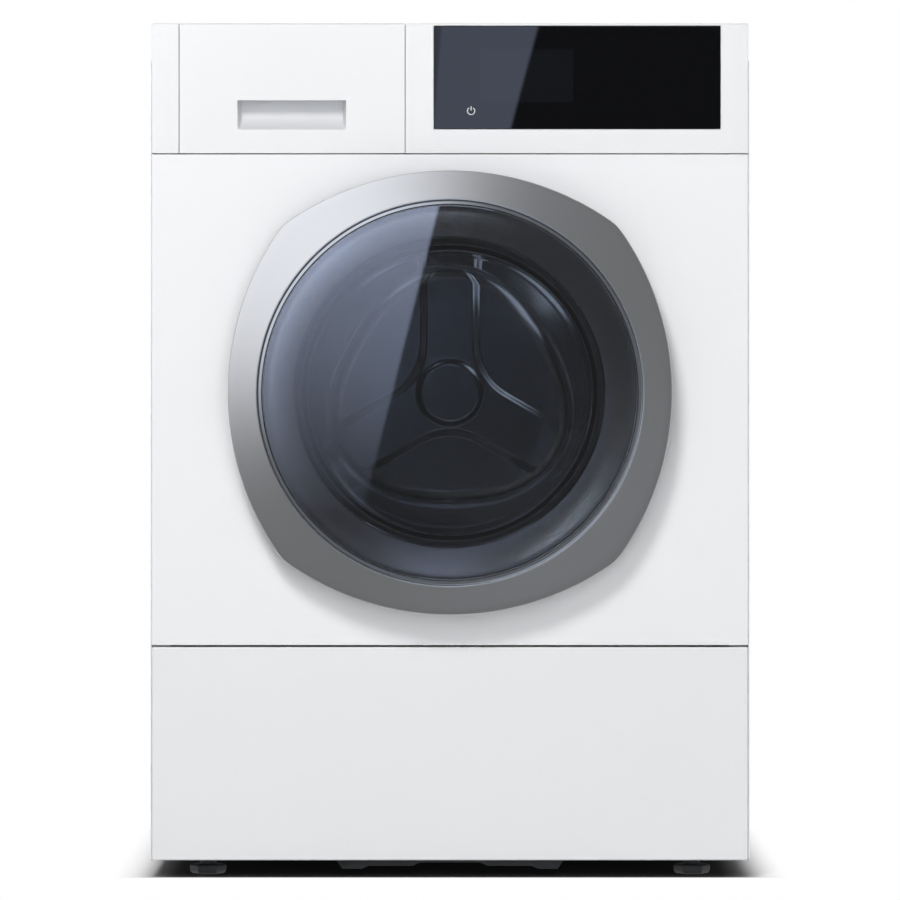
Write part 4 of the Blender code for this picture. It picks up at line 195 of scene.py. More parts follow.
finishes = {
    "enamel": tone((0.852, 0.857, 0.873), (0.855, 0.860, 0.876), (0.32, 0.34), 6.0, 900.0, 20, **gloss),
    "glossPlastic": tone(*glossTone, **gloss),
    # Painted shade: the drawer front's colour goes darker where its finger recess goes in
    "drawerPlasticPaintedShade": tone(*glossTone, **gloss, recess=(-0.2796, -0.2780), deep=(0.685, 0.694, 0.715, 1)),
    # Painted shade: the flap's enamel is the panels' white set darker, as the lower front falls darker in the
    # light
    "coverEnamelPaintedShade": tone((0.818, 0.826, 0.838), (0.821, 0.829, 0.841), (0.32, 0.34), 6.0, 900.0, 20, **gloss),
    "laminate": tone((0.755, 0.760, 0.766), (0.780, 0.785, 0.790), (0.42, 0.52), 220.0, 600.0, 50),
    "satin": tone((0.631, 0.641, 0.661), (0.634, 0.644, 0.664), (0.283, 0.290), 14.0, 2200.0, 3, metal=1.0),
    "steel": tone((0.52, 0.53, 0.55), (0.62, 0.63, 0.65), (0.20, 0.32), 30.0, 300.0, 20, metal=1.0,
                  stretch=(6, 1, 6)),
    "insertPlastic": tone((0.30, 0.46, 0.66), (0.33, 0.49, 0.69), (0.30, 0.38), 16.0, 1000.0, 30),
    "darkSteel": tone((0.16, 0.165, 0.17), (0.22, 0.225, 0.23), (0.30, 0.40), 40.0, 700.0, 20, metal=1.0),
    "zinc": tone((0.60, 0.615, 0.63), (0.655, 0.67, 0.685), (0.36, 0.46), 75.0, 260.0, 30, metal=0.9),
    "darkPlastic": tone((0.020, 0.021, 0.024), (0.032, 0.033, 0.037), (0.38, 0.50), 25.0, 1300.0, 60),
    "greyPlastic": tone((0.40, 0.41, 0.43), (0.46, 0.47, 0.49), (0.46, 0.58), 12.0, 900.0, 80),
    "palePlastic": tone((0.70, 0.71, 0.71), (0.76, 0.77, 0.77), (0.36, 0.48), 14.0, 1100.0, 50),
    "softRubber": tone((0.115, 0.118, 0.125), (0.155, 0.158, 0.165), (0.58, 0.72), 30.0, 700.0, 70),
    "blackRubber": tone((0.013, 0.013, 0.014), (0.028, 0.028, 0.030), (0.58, 0.76), 60.0, 900.0, 80),
    "footPlastic": tone((0.060, 0.062, 0.068), (0.080, 0.083, 0.090), (0.42, 0.52), 40.0, 900.0, 60),
    "concrete": tone((0.30, 0.295, 0.285), (0.50, 0.49, 0.47), (0.82, 0.95), 120.0, 320.0, 600),
    "alloy": tone((0.44, 0.445, 0.45), (0.56, 0.565, 0.57), (0.42, 0.60), 80.0, 650.0, 120, metal=0.85),
    "board": tone((0.012, 0.075, 0.035), (0.022, 0.110, 0.050), (0.35, 0.50), 60.0, 500.0, 80),
    "trim": tone((0.42, 0.45, 0.50), (0.45, 0.48, 0.53), (0.17, 0.20), 20.0, 900.0, 2, metal=1.0),
}


def makeFinish(name, look):
    material, tree, shader = newMaterial(name)
    place = objectPlace(tree, look.get("stretch", (1, 1, 1)))
    grain = noiseOf(place, look["grain"], 4.0, 0.55)
    colour = blendColours(smoothRange(grain, 0.35, 0.65), *look["colours"])
    # Painted shade: where a finish gives one, the colour darkens with depth into the recess
    if "recess" in look:
        colour = mixColours(smoothRange(axesOf(place)[1], *look["recess"]), colour, look["deep"])
    feed(shader, {"Base Color": colour, "Roughness": smoothRange(grain, *grainSpan, *look["rough"]),
                  "Normal": bumpOf(noiseOf(place, look["fine"], 2.0), look["bump"]),
                  "Metallic": look.get("metal", 0.0), "Coat Weight": look.get("coat", 0.0),
                  "Coat Roughness": 0.12})
    return material


# Glass, and the smoked moulding under the pane: haze is the grain's scale and detail, and the control glass
# is a shade lighter over its display window

paneLook = {"haze": (18.0, 3.0), "rough": (0.004, 0.0072),
            "inputs": {"Base Color": (0.004, 0.005, 0.008, 1), "Alpha": 0.35, "IOR": 2.8,
                       "Specular IOR Level": 0.95}}
bowlLook = {"haze": (30.0, 2.0), "rough": (0.012, 0.024),
            "inputs": {"Base Color": (0.86, 0.90, 0.95, 1), "Transmission Weight": 1.0, "IOR": 1.46}}
panelLook = {"haze": (25.0, 2.0), "rough": (0.006, 0.0096), "inputs": {}, "ink": (0.0032, 0.0034, 0.0040),
             "display": (0.0060, 0.0068, 0.0085), "window": (0.0299, 0.1224, 0.7715, 0.8240), "soft": 0.0006}
bandLook = {"haze": (12.0, 3.0), "rough": (0.15, 0.18), "inputs": {"Metallic": 0.95},
            "colours": ((0.52, 0.535, 0.575), (0.55, 0.565, 0.605))}


def makeGlass(name, look):
    material, tree, shader = newMaterial(name)
    haze = noiseOf(objectPlace(tree), *look["haze"])
    feed(shader, {"Roughness": smoothRange(haze, *grainSpan, *look["rough"]), **look["inputs"]})
    if "colours" in look:
        feed(shader, {"Base Color": blendColours(smoothRange(haze, *grainSpan), *look["colours"])})
    if "window" in look:
        x, _, z = axesOf(objectPlace(tree))
        (left, right, low, high), soft = pick(look, "window soft")
        window = (smoothRange(x, left - soft, left + soft) * smoothFall(x, right - soft, right + soft)
                  * (smoothRange(z, low - soft, low + soft) * smoothFall(z, high - soft, high + soft)))
        feed(shader, {"Base Color": blendColours(window, look["ink"], look["display"])})
    return material


drumLook = {"colours": ((0.43, 0.455, 0.50), (0.46, 0.485, 0.53)), "rough": (0.15, 0.165), "radius": 0.235,
            "around": 126, "rows": 0.0105, "hole": 0.0017, "paintedShadeColour": (0.004, 0.004, 0.005, 1),
            "rimBump": 0.0006, "streaks": (0.4, 60.0, 90.0)}


def makeDrumSteel(name, look, holes):
    # Polished sheet; the wall's staggered round holes are painted shade: near-black dots with a bumped rim
    material, tree, shader = newMaterial(name)
    x, y, z = axesOf(objectPlace(tree, shift=(0, 0, -doorZ)))
    turn = z.maths("ARCTAN2", x)
    reach = (x * x + z * z).maths("SQRT")
    streaks = {axis: value * factor for axis, value, factor in zip("XYZ", (turn, y, reach), look["streaks"])}
    grain = noiseOf(Wire(addNode(tree, "CombineXYZ", streaks)), 3.0, 4.0, 0.6)
    colour = blendColours(smoothRange(grain, *grainSpan), *look["colours"])
    metal = 1.0
    if holes:
        row = y.maths("DIVIDE", look["rows"])
        odd = row.maths("FLOOR").maths("FLOORED_MODULO", 2.0) * 0.5
        column = turn * (look["around"] / tau) + odd
        across = (column.maths("FRACT") - 0.5) * (tau * look["radius"] / look["around"])
        along = (row.maths("FRACT") - 0.5) * look["rows"]
        distance = (across * across + along * along).maths("SQRT")
        # Painted shade: each hole is near black and not metallic
        metal = smoothRange(distance, look["hole"] * 0.85, look["hole"] * 1.05)
        colour = mixColours(metal, look["paintedShadeColour"], colour)
        rim = smoothRange(distance, look["hole"] * 0.9, look["hole"] * 1.9)
        feed(shader, {"Normal": bumpOf(rim, look["rimBump"])})
    feed(shader, {"Base Color": colour, "Roughness": smoothRange(grain, 0.25, 0.75, *look["rough"]),
                  "Metallic": metal})
    return material


finish = {name: makeFinish(name, look) for name, look in finishes.items()}
finish["pane"] = makeGlass("paneGlass", paneLook)
finish["bowl"] = makeGlass("bowlGlass", bowlLook)
finish["controlGlass"] = makeGlass("controlGlass", panelLook)
finish["band"] = makeGlass("smokedBand", bandLook)
finish["drumBack"] = makeDrumSteel("drumBackSteel", drumLook, False)
finish["drumWall"] = makeDrumSteel("drumWallSteel", drumLook, True)
print("finishes made:", len(finish))


# Helpers for pieces

weld = {"cad": 0.00002, "spin": 0.000005}  # vertices closer than this are merged
foldDeg = 28  # edges that turn more than this are rounded


def addObject(name, bm, material):
    mesh = bpy.data.meshes.new(name)
    bm.to_mesh(mesh)
    bm.free()
    mesh.materials.append(material)
    made = bpy.data.objects.new(name, mesh)
    scene.collection.objects.link(made)
    return made


def addPiece(name, bm, look, node, slot=None, sharp=35.0, recalc=True, flat=False):
    # A bmesh becomes a piece that rides with a CAD node. Without a slot of its own it replaces the node,
    # which is hidden; no slot is set on the piece. Flat keeps large faces evenly lit.
    if recalc:
        bmesh.ops.recalc_face_normals(bm, faces=bm.faces)
    piece = addObject(name, bm, finish[look])
    mesh = piece.data
    mesh.polygons.foreach_set("use_smooth", [True] * len(mesh.polygons))
    mesh.set_sharp_from_angle(angle=radians(sharp))
    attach(piece, bodyOf[node])
    if slot is None:
        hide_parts(node)
    slot or slotOf[node]
    if flat:
        weighted = piece.modifiers.new("flatFaces", "WEIGHTED_NORMAL")
        weighted.keep_sharp = True


def cadCopy(node):
    # A CAD node's mesh with its triangles merged into flat faces
    bm = bmesh.new()
    bm.from_mesh(nodes[node].data)
    bmesh.ops.remove_doubles(bm, verts=bm.verts, dist=weld["cad"])
    bmesh.ops.dissolve_limit(bm, angle_limit=radians(1.0), verts=bm.verts, edges=bm.edges)
    return bm


def roundEdges(bm, edges, offset, segments=2, clamp=True):
    bmesh.ops.bevel(bm, geom=edges, offset=offset, offset_type="OFFSET", segments=segments, profile=0.5,
                    affect="EDGES", clamp_overlap=clamp, material=-1)


def isSharp(edge, signed=False):
    # Signed leaves out the edges that fold inward
    if len(edge.link_faces) != 2:
        return False
    angle = edge.calc_face_angle_signed(0) if signed else edge.calc_face_angle(0)
    return angle > radians(foldDeg)


def edgesOf(verts):
    return list({edge for vert in verts for edge in vert.link_edges})


def growLoop(bm, edges):
    # Extrudes a loop of edges and gives the new loop's vertices and edges
    grown = bmesh.ops.extrude_edge_only(bm, edges=edges)["geom"]
    verts = [item for item in grown if isinstance(item, bmesh.types.BMVert)]
    ends = set(verts)
    return verts, [item for item in grown if isinstance(item, bmesh.types.BMEdge) and set(item.verts) <= ends]


def facing(place):
    # Stands a flat circle or grid upright at a place
    return Matrix.Translation(place) @ Matrix.Rotation(pi / 2, 4, "X")


def refine(node, look, edge, segments=2, trim=0.0):
    # A copy of a CAD node with its outer edges rounded, in place of the node; trim lowers its top
    bm = cadCopy(node)
    bmesh.ops.recalc_face_normals(bm, faces=bm.faces)
    top = max(v.co.z for v in bm.verts)
    for vert in bm.verts:
        if trim and vert.co.z > top - 0.0008:
            vert.co.z -= trim
    if edge:
        roundEdges(bm, [e for e in bm.edges if isSharp(e, True)], edge, segments, False)
    addPiece(node + "_detail", bm, look, node, recalc=False, flat=True)


def spinProfile(points, steps, centre=(0, 0, doorZ), bm=None):
    # A half profile of (radius, y) turned round an axis that points to the front
    bm = bm or bmesh.new()
    verts = [bm.verts.new(Vector((radius, y, 0)) + Vector(centre)) for radius, y in points]
    edges = [bm.edges.new(pair) for pair in zip(verts, verts[1:])]
    if points[0][0] > 0 or points[-1][0] > 0:
        edges.append(bm.edges.new((verts[-1], verts[0])))
    bmesh.ops.spin(bm, geom=verts + edges, cent=centre, axis=(0, 1, 0), angle=tau, steps=steps,
                   use_merge=True)
    bmesh.ops.remove_doubles(bm, verts=bm.verts, dist=weld["spin"])
    return bm


def loopBody(sections, steps):
    # Closed body of rings round the door's axis; a section is (radius, y), or gives that for an angle
    bm = bmesh.new()
    matrix = facing((0, 0, doorZ))
    ring = bmesh.ops.create_circle(bm, cap_ends=False, radius=1.0, segments=steps, matrix=matrix)["verts"]
    edges = firstEdges = list(bm.edges)
    for index, section in enumerate(sections):
        if index:
            ring, edges = growLoop(bm, edges)
        for vert in ring:
            angle = atan2(vert.co.z - doorZ, vert.co.x)
            radius, y = section(angle) if callable(section) else section
            vert.co = Vector((radius * cos(angle), y, doorZ + radius * sin(angle)))
    bmesh.ops.bridge_loops(bm, edges=firstEdges + edges)
    return bm


def ease(value):
    value = min(max(value, 0.0), 1.0)
    return value * value * (3 - 2 * value)


# Door ring: satin metal, round at the glass and rounded square outside

ringSet = {"arc": 0.2802, "offset": 0.0605, "corner": 0.045, "glass": 0.1862, "inner": 0.1906,
           "front": -0.320, "back": -0.289, "tilt": 0.268, "edge": 0.0014, "chamfer": 0.003, "wall": 0.0025,
           "scallop": 0.010, "notchY": -0.304, "notchHalf": 0.0283, "gripEnd": 22.0, "gripFade": 8.0,
           "trimBend": 0.0115, "trimLean": (10, 30)}


def ringOutline(angle):
    # Four long arcs joined by four round corners
    quarter = abs((angle + pi / 4) % (pi / 2) - pi / 4)
    reach, offset, corner = pick(ringSet, "arc offset corner")
    along = -offset / sqrt(2) + sqrt((reach - corner) ** 2 - offset ** 2 / 2)
    side = along / sqrt(2)
    lean = atan2(side, side + offset)
    meet = atan2(reach * sin(lean), reach * cos(lean) - offset)
    if quarter <= meet:
        return -offset * cos(quarter) + sqrt(reach ** 2 - (offset * sin(quarter)) ** 2)
    swing = pi / 4 - quarter
    return along * cos(swing) + sqrt(corner ** 2 - (along * sin(swing)) ** 2)


def makeDoorRing(look):
    inner, front, edge, wall = pick(look, "inner front edge wall")
    seat = front + look["chamfer"]

    def onFace(radius):
        return radius, front + (radius - inner) * look["tilt"]

    def rimY(angle):
        return onFace(ringOutline(angle) - edge)[1]

    def backY(angle):
        # Scalloped at the right for the fingers, notched at the left for the hinge
        radius = ringOutline(angle)
        lean = abs(degrees(remainder(angle, tau)))
        back = look["back"] - ease((look["gripEnd"] - lean) / look["gripFade"]) * look["scallop"]
        if cos(angle) < 0 and abs(radius * sin(angle)) < look["notchHalf"]:
            back = min(back, look["notchY"])
        return back

    sections = [(inner, seat), (inner, front + 0.0007), (inner + 0.0002, front + 0.0002),
                onFace(inner + 0.0007), onFace(inner + 0.0020)]
    for share in (0.25, 0.5, 0.75):
        sections.append(lambda a, s=share: onFace(inner + (ringOutline(a) - edge - inner) * s))
    for step in range(7):
        turn = radians(15 + step * 12.5)
        sections.append(lambda a, t=turn: (ringOutline(a) - edge + edge * sin(t),
                                           rimY(a) + edge - edge * cos(t)))
    sections += [lambda a: (ringOutline(a), backY(a) - 0.0006),
                 lambda a: (ringOutline(a) - 0.0005, backY(a)),
                 lambda a: (ringOutline(a) - wall, backY(a)),
                 lambda a: (ringOutline(a) - wall, rimY(a) + edge),
                 lambda a: (ringOutline(a) - edge - wall / 2, rimY(a) + wall),
                 (inner + wall, front + wall * 2), (inner + wall, seat + 0.004), (inner, seat + 0.004)]
    addPiece("doorRing", loopBody(sections, 288), "satin", "door_ring", sharp=30.0)


def makePaneTrim(look):
    # Pale sloping trim between the pane and the metal ring, with a fine dark gap outside it
    glass, front, bend, (first, last) = pick(look, "glass front trimBend trimLean")
    sections = [(glass + 0.0001, front + 0.0066), (glass + 0.0001, front + 0.0012),
                (glass + 0.0003, front + 0.0009)]
    start = radians(first)
    for step in range(1, 9):
        lean = radians(first + (last - first) * step / 8)
        sections.append((glass + 0.0003 + bend * (sin(lean) - sin(start)),
                         front + 0.0009 + bend * (cos(start) - cos(lean))))
    sections += [(glass + 0.0043, front + 0.0026), (glass + 0.0043, front + 0.0066)]
    addPiece("paneTrim", loopBody(sections, 240), "trim", "door_ring", "satin_metal", 40.0)


paneSet = {"radius": 0.1859, "front": -0.3176, "back": -0.3130}


def makeDoorPane(look):
    # Flat tinted pane with a ground edge
    radius, front, back = pick(look, "radius front back")
    profile = [(0.0, front), (radius - 0.0015, front), (radius - 0.0009, front),
               (radius - 0.0002, front + 0.0003), (radius, front + 0.0008), (radius, back - 0.0004),
               (radius - 0.0004, back), (radius - 0.0011, back), (0.0, back)]
    addPiece("doorPane", spinProfile(profile, 192), "pane", "door_glass", sharp=25.0)


bandSet = {"outer": 0.1856, "inner": 0.1539, "front": -0.3127, "slope": 0.19, "wallEnd": -0.3024,
           "wallHalf": 0.0004, "rings": 32, "easeEnd": 0.26, "flatten": 0.55}


def makeDoorBand(look):
    # Smoked band that slopes from the pane's edge to the bowl's mouth
    outer, inner, half, rings = pick(look, "outer inner wallHalf rings")
    y, width = look["front"], outer - inner
    sections = [(outer, y)]
    for step in range(1, rings + 1):
        share = step / rings
        steep = ease(share / look["easeEnd"]) * (1 - look["flatten"] * share)
        y += look["slope"] * steep * width / rings
        sections.append((outer - width * share, y))
    sections += [(inner - half, y + 0.0006), (inner - half, look["wallEnd"]), (inner + half, look["wallEnd"]),
                 (outer, look["front"] + 0.0008)]
    addPiece("doorBand", loopBody(sections, 192), "band", "door_frame", "dark_plastic", 40.0)


bowlSet = {"flange": 0.1530, "throat": 0.1460, "mouth": 0.1435, "tip": 0.1215, "lobe": 0.008, "dimple": 0.060,
           "mouthY": -0.302, "lipY": -0.299, "faceY": -0.280, "tipY": -0.215, "edge": 0.016, "wall": 0.004,
           "pole": 0.0001}


def bowlOutline(angle, share):
    # Round at the mouth, a rounded triangle at the tip
    tip = bowlSet["tip"] + bowlSet["lobe"] * cos(3 * (angle - pi / 2))
    return bowlSet["mouth"] + (tip - bowlSet["mouth"]) * share


def makeBowl(look):
    # Pressed glass bowl with a flange
    flange, throat, dimple, pole, edge, wall = pick(look, "flange throat dimple pole edge wall")
    mouthY, lipY, faceY, tipY = pick(look, "mouthY lipY faceY tipY")
    rimY = tipY - edge
    sections = [(0.142, mouthY), (flange - 0.0008, mouthY), (flange, mouthY + 0.0008), (flange, lipY),
                (0.1472, lipY), (0.1462, lipY + 0.001)]

    def addSide(steps, inset):
        for step in steps:
            sections.append(lambda a, s=step / 6: (bowlOutline(a, s) - inset,
                                                   faceY + 0.002 + (rimY - faceY - 0.002) * s))

    def addCorner(steps, radius):
        for step in steps:
            turn = radians(90 * step / 8)
            sections.append(lambda a, t=turn: (bowlOutline(a, 1) - edge + radius * cos(t),
                                               rimY + radius * sin(t)))

    for step in range(5):
        sections.append(lambda a, s=step / 4: (throat + (bowlOutline(a, 0.05) - throat) * ease(s),
                                               lipY + 0.002 + (faceY + 0.002 - lipY - 0.002) * s))
    addSide(range(1, 6), 0.0)
    addCorner(range(9), edge)
    sections += [(dimple, tipY), (pole, tipY), (pole, tipY - wall), (dimple, tipY - wall)]
    addCorner(range(8, -1, -1), edge - wall)
    addSide(range(5, 0, -1), wall)
    sections.append((look["mouth"] - wall, faceY + 0.002))
    bm = loopBody(sections, 192)
    poles = [v for v in bm.verts if hypot(v.co.x, v.co.z - doorZ) < pole * 2]
    bmesh.ops.remove_doubles(bm, verts=poles, dist=pole * 3)
    addPiece("doorBowl", bm, "bowl", "door_bowl", sharp=40.0)


makeDoorRing(ringSet)
makePaneTrim(ringSet)
makeDoorPane(paneSet)
makeDoorBand(bandSet)
makeBowl(bowlSet)
print("door made")


# Drum: shell with its rolled mouth, back with the three-armed pressing

drumSet = {"radius": 0.235, "sheet": 0.0012, "front": -0.1905, "back": 0.1505, "mouth": 0.176,
           "corner": 0.014, "starHalf": 0.028, "starReach": 0.206, "fillet": 0.065, "rise": 0.0026,
           "edge": 0.0066, "hub": 0.0335, "hubEdge": 0.0050, "hubRise": 0.0016, "bead": 0.214,
           "beadHalf": 0.006, "beadRise": 0.0016, "plateInner": 0.003, "plateOuter": 0.2326, "rings": 92,
           "lifterEdge": 0.0030}


def makeDrumShell(look):
    outer, sheet, front, back, corner, mouth = pick(look, "radius sheet front back corner mouth")

    def bend(steps, radius):
        turns = [radians(-90 + 90 * step / 8) for step in steps]
        return [(outer - corner + radius * cos(t), front + corner + radius * sin(t)) for t in turns]

    profile = [(mouth + sheet * 2, front + 0.009), (mouth + sheet, front + 0.0095), (mouth, front + 0.008),
               (mouth, front + 0.003), (mouth + 0.001, front + 0.0008), (mouth + 0.003, front)]
    profile += bend(range(9), corner)
    along = [front + corner + (back - front - corner) * share for share in (0.25, 0.5, 0.75, 1.0)]
    profile += [(outer, y) for y in along] + [(outer - sheet, y) for y in reversed(along)]
    profile += bend(range(8, -1, -1), corner - sheet)
    profile += [(mouth + 0.0042, front + sheet), (mouth + sheet * 2, front + 0.003)]
    addPiece("drumShell", spinProfile(profile, 180), "drumWall", "drum_shell")


def ramp(value):
    # A straight slope with short eased ends
    value = min(max(value, 0.0), 1.0)
    return value + 0.06 * sin(tau * (value - 0.5)) if 0 < value < 1 else value


def starRise(look, x, z):
    # Share of the pressing's height at a point of the back: 1 on the arms, 0 between them
    half, fillet = look["starHalf"], look["fillet"]
    centreOut = (half + fillet) / sin(pi / 3)
    radius = hypot(x, z)
    turn = remainder(atan2(z, x) - pi / 2, tau / 3)
    along, across = radius * cos(turn), abs(radius * sin(turn))
    foot = centreOut * cos(pi / 3)
    if along >= foot:
        gap = across - half
    else:
        gap = fillet - hypot(along - foot, across - centreOut * sin(pi / 3))
    gap = max(gap, radius - look["starReach"])
    return ramp(0.5 - gap / look["edge"])


def makeDrumBack(look):
    first, last, rings = pick(look, "plateInner plateOuter rings")
    plate = look["back"] - look["sheet"]
    radii = [first + (last - first) * step / rings for step in range(rings + 1)]
    bm = bmesh.new()
    bmesh.ops.create_circle(bm, cap_ends=True, radius=first, segments=384, matrix=facing((0, plate, doorZ)))
    edges = list(bm.edges)
    for radius, before in zip(radii[1:], radii):
        ring, edges = growLoop(bm, edges)
        bmesh.ops.scale(bm, vec=(radius / before, 1, radius / before), verts=ring,
                        space=Matrix.Translation((0, 0, -doorZ)))
    for vert in bm.verts:
        x, z = vert.co.x, vert.co.z - doorZ
        radius = hypot(x, z)
        rise = look["rise"] * starRise(look, x, z)
        rise += look["hubRise"] * ramp((look["hub"] - radius) / look["hubEdge"] + 0.5)
        rise += look["beadRise"] * ease(1 - abs(radius - look["bead"]) / look["beadHalf"])
        vert.co.y = plate - rise
    bmesh.ops.solidify(bm, geom=bm.faces[:], thickness=look["sheet"])
    addPiece("drumBack", bm, "drumBack", "drum_back", sharp=50.0)


makeDrumShell(drumSet)
makeDrumBack(drumSet)
for index in (1, 2, 3):
    refine("lifter_%d" % index, "drumBack", drumSet["lifterEdge"], 4)
print("drum made")


# Control strip: black glass, power symbol, drawer front

glassSet = {"left": -0.0160, "right": 0.2689, "low": 0.7447, "high": 0.8471, "front": -0.280, "back": -0.277,
            "corner": 0.0008, "edge": 0.0004}
powerSet = {"x": 0.0210, "z": 0.7626, "radius": 0.0036, "line": 0.00042, "front": -0.28012, "gapDeg": 62.0,
            "strokeAt": 0.72, "strokeLong": 1.15, "thick": 0.00008}


def makeControlGlass(look):
    # Upright plate with round corners and eased front edges
    left, right, low, high, front, back = pick(look, "left right low high front back")
    bm = bmesh.new()
    bmesh.ops.create_cube(bm, size=1.0)
    bmesh.ops.scale(bm, vec=(right - left, back - front, high - low), verts=bm.verts)
    bmesh.ops.translate(bm, vec=((left + right) / 2, (front + back) / 2, (low + high) / 2), verts=bm.verts)
    roundEdges(bm, [e for e in bm.edges if abs(e.verts[0].co.y - e.verts[1].co.y) > 1e-6], look["corner"], 5)
    face = min(v.co.y for v in bm.verts)
    roundEdges(bm, [e for e in bm.edges if all(abs(v.co.y - face) < 1e-6 for v in e.verts)], look["edge"], 3)
    addPiece("controlGlass", bm, "controlGlass", "control_glass", flat=True)


def makePowerSymbol(look):
    # Broken ring with an upright stroke, printed on the glass
    bm = bmesh.new()
    radius, line = pick(look, "radius line")
    centre = Vector(pick(look, "x front z"))
    middle = centre + Vector((0, 0, radius * look["strokeAt"]))
    half = radians(look["gapDeg"] / 2)
    turn = Matrix.Rotation(half, 3, "Y")
    ends = [bm.verts.new(centre + turn @ Vector((0, 0, reach))) for reach in (radius - line, radius + line)]
    start = bm.edges.new(ends)
    bmesh.ops.spin(bm, geom=[*ends, start], cent=centre, axis=(0, 1, 0), angle=tau - half * 2, steps=32)
    stroke = bmesh.ops.create_grid(bm, x_segments=1, y_segments=2, size=0.5, matrix=facing(middle))
    bmesh.ops.scale(bm, vec=(line * 2, 1, radius * look["strokeLong"]), verts=stroke["verts"],
                    space=Matrix.Translation(-middle))
    bmesh.ops.solidify(bm, geom=bm.faces[:], thickness=look["thick"])
    addPiece("powerSymbol", bm, "palePlastic", "control_glass", "pale_plastic")


scoopSet = {"left": -0.2119, "right": -0.1028, "low": 0.7435, "high": 0.7735, "face": -0.280, "back": -0.2625,
            "depth": 0.0162, "edge": 0.0007, "slack": 0.0012, "inset": 0.0005, "lip": 0.0030,
            "endRound": 0.0030, "deepAt": 0.60, "lipFrom": 0.78, "lipFade": 0.2, "sink": 0.0002,
            "columns": (0.0, 0.0004, 0.0010, 0.0020, 0.0034, 0.0054), "middleSteps": 14, "rows": 26}


def makeDrawerFront(look):
    # The CAD front with its finger recess remade as a smooth scoop under an overhanging lip
    left, right, low, high, slack, inset, full = pick(look, "left right low high slack inset depth")
    bm = cadCopy("drawer_front")

    def inRecess(place):
        return (left - slack < place.x < right + slack and low - slack < place.z < high + slack
                and place.y < look["back"])

    inside = [f for f in bm.faces if all(inRecess(v.co) for v in f.verts)]
    bmesh.ops.delete(bm, geom=inside, context="FACES")
    rim = {v for e in bm.edges if e.is_boundary for v in e.verts}
    roundEdges(bm, [e for e in bm.edges if isSharp(e) and not rim & set(e.verts)], look["edge"], clamp=False)
    span, tall = right - left - inset * 2, high - low - inset * 2
    *across, start = look["columns"]
    steps, rows = pick(look, "middleSteps rows")
    across += [start + (0.5 * span - start) * step / steps for step in range(steps + 1)]
    across += [span - value for value in reversed(across[:-1])]
    upward = [tall * step / rows for step in range(rows)] + [tall - 0.0006, tall - 0.0002, tall]
    lastColumn, lastRow = len(across) - 1, len(upward) - 1
    patch = bmesh.ops.create_grid(bm, x_segments=lastColumn, y_segments=lastRow, size=0.5)["verts"]
    for vert in patch:
        row = round((vert.co.y + 0.5) * lastRow)
        x, z = across[round((vert.co.x + 0.5) * lastColumn)], upward[row]
        share = z / tall
        depth = full * (1 - (1 - min(share / look["deepAt"], 1.0)) ** 2.0)
        depth *= ease(min(x, span - x) / look["endRound"])
        lift = look["lip"] * ease((share - look["lipFrom"]) / look["lipFade"]) * depth / full
        if row == lastRow:
            depth, lift = 0.0, 0.0
        vert.co = Vector((left + inset + x, look["face"] + look["sink"] + depth, low + inset + z + lift))
    bmesh.ops.bridge_loops(bm, edges=[e for e in bm.edges if e.is_boundary])
    addPiece("drawerFront", bm, "drawerPlasticPaintedShade", "drawer_front", flat=True)


makeControlGlass(glassSet)
makePowerSymbol(powerSet)
makeDrawerFront(scoopSet)
print("control strip made")


# CAD nodes whose form is right: copies, by finish, each node with its edge radius in tenths of a millimetre

refined = {
    "enamel": {"side_panel_left": 12, "side_panel_right": 12, "front_panel": 9},
    "coverEnamelPaintedShade": {"service_flap": 16},
    "glossPlastic": {"control_fascia": 7},
    "laminate": {"worktop": 12},
    "zinc": {"rear_panel": 6, "service_cover": 6, "top_crossbar": 6, "suspension_spring_left": 0,
             "suspension_spring_right": 0},
    "darkPlastic": {"base_frame": 7, "door_frame": 6, "door_lock": 6, "filter_cap": 8,
                    "damper_cylinder_left": 5, "damper_cylinder_right": 5},
    "greyPlastic": {"dispenser_housing": 6, "drain_outlet": 5, "drain_pump": 6, "tub_front_half": 6,
                    "tub_rear_half": 6},
    "palePlastic": {"drawer_tray": 6, "inlet_valve": 5},
    "alloy": {"door_hinge_arm": 5, "hinge_bracket": 5, "latch_hook": 4, "motor_housing": 8, "drum_spider": 12,
              "drum_pulley": 5},
    "steel": {"hinge_pin": 3, "bearing_sleeve": 4, "heater": 0, "motor_rotor": 3, "damper_rod_left": 4,
              "damper_rod_right": 4, "drum_shaft": 5},
    "softRubber": {"door_seal": 0, "fill_bellows": 0, "sump_hose": 0},
    "blackRubber": {"cable_gland": 5, "inlet_hose": 0, "drive_belt": 3},
    "concrete": {"counterweight_upper": 15, "counterweight_lower": 15},
    "board": {"control_board": 3},
}
topTrim = {"service_flap": 0.0009}  # opens the seam above the flap
for name, members in refined.items():
    for node, edge in members.items():
        refine(node, name, edge / 10000, trim=topTrim.get(node, 0.0))
print("carried nodes dressed:", sum(len(members) for members in refined.values()))


# Fastenings and small fittings that the CAD leaves out

def hitOn(node, origin, direction):
    bm = bmesh.new()
    bm.from_mesh(nodes[node].data)
    tree = BVHTree.FromBMesh(bm)
    bm.free()
    return tree.ray_cast(Vector(origin), Vector(direction))[0]


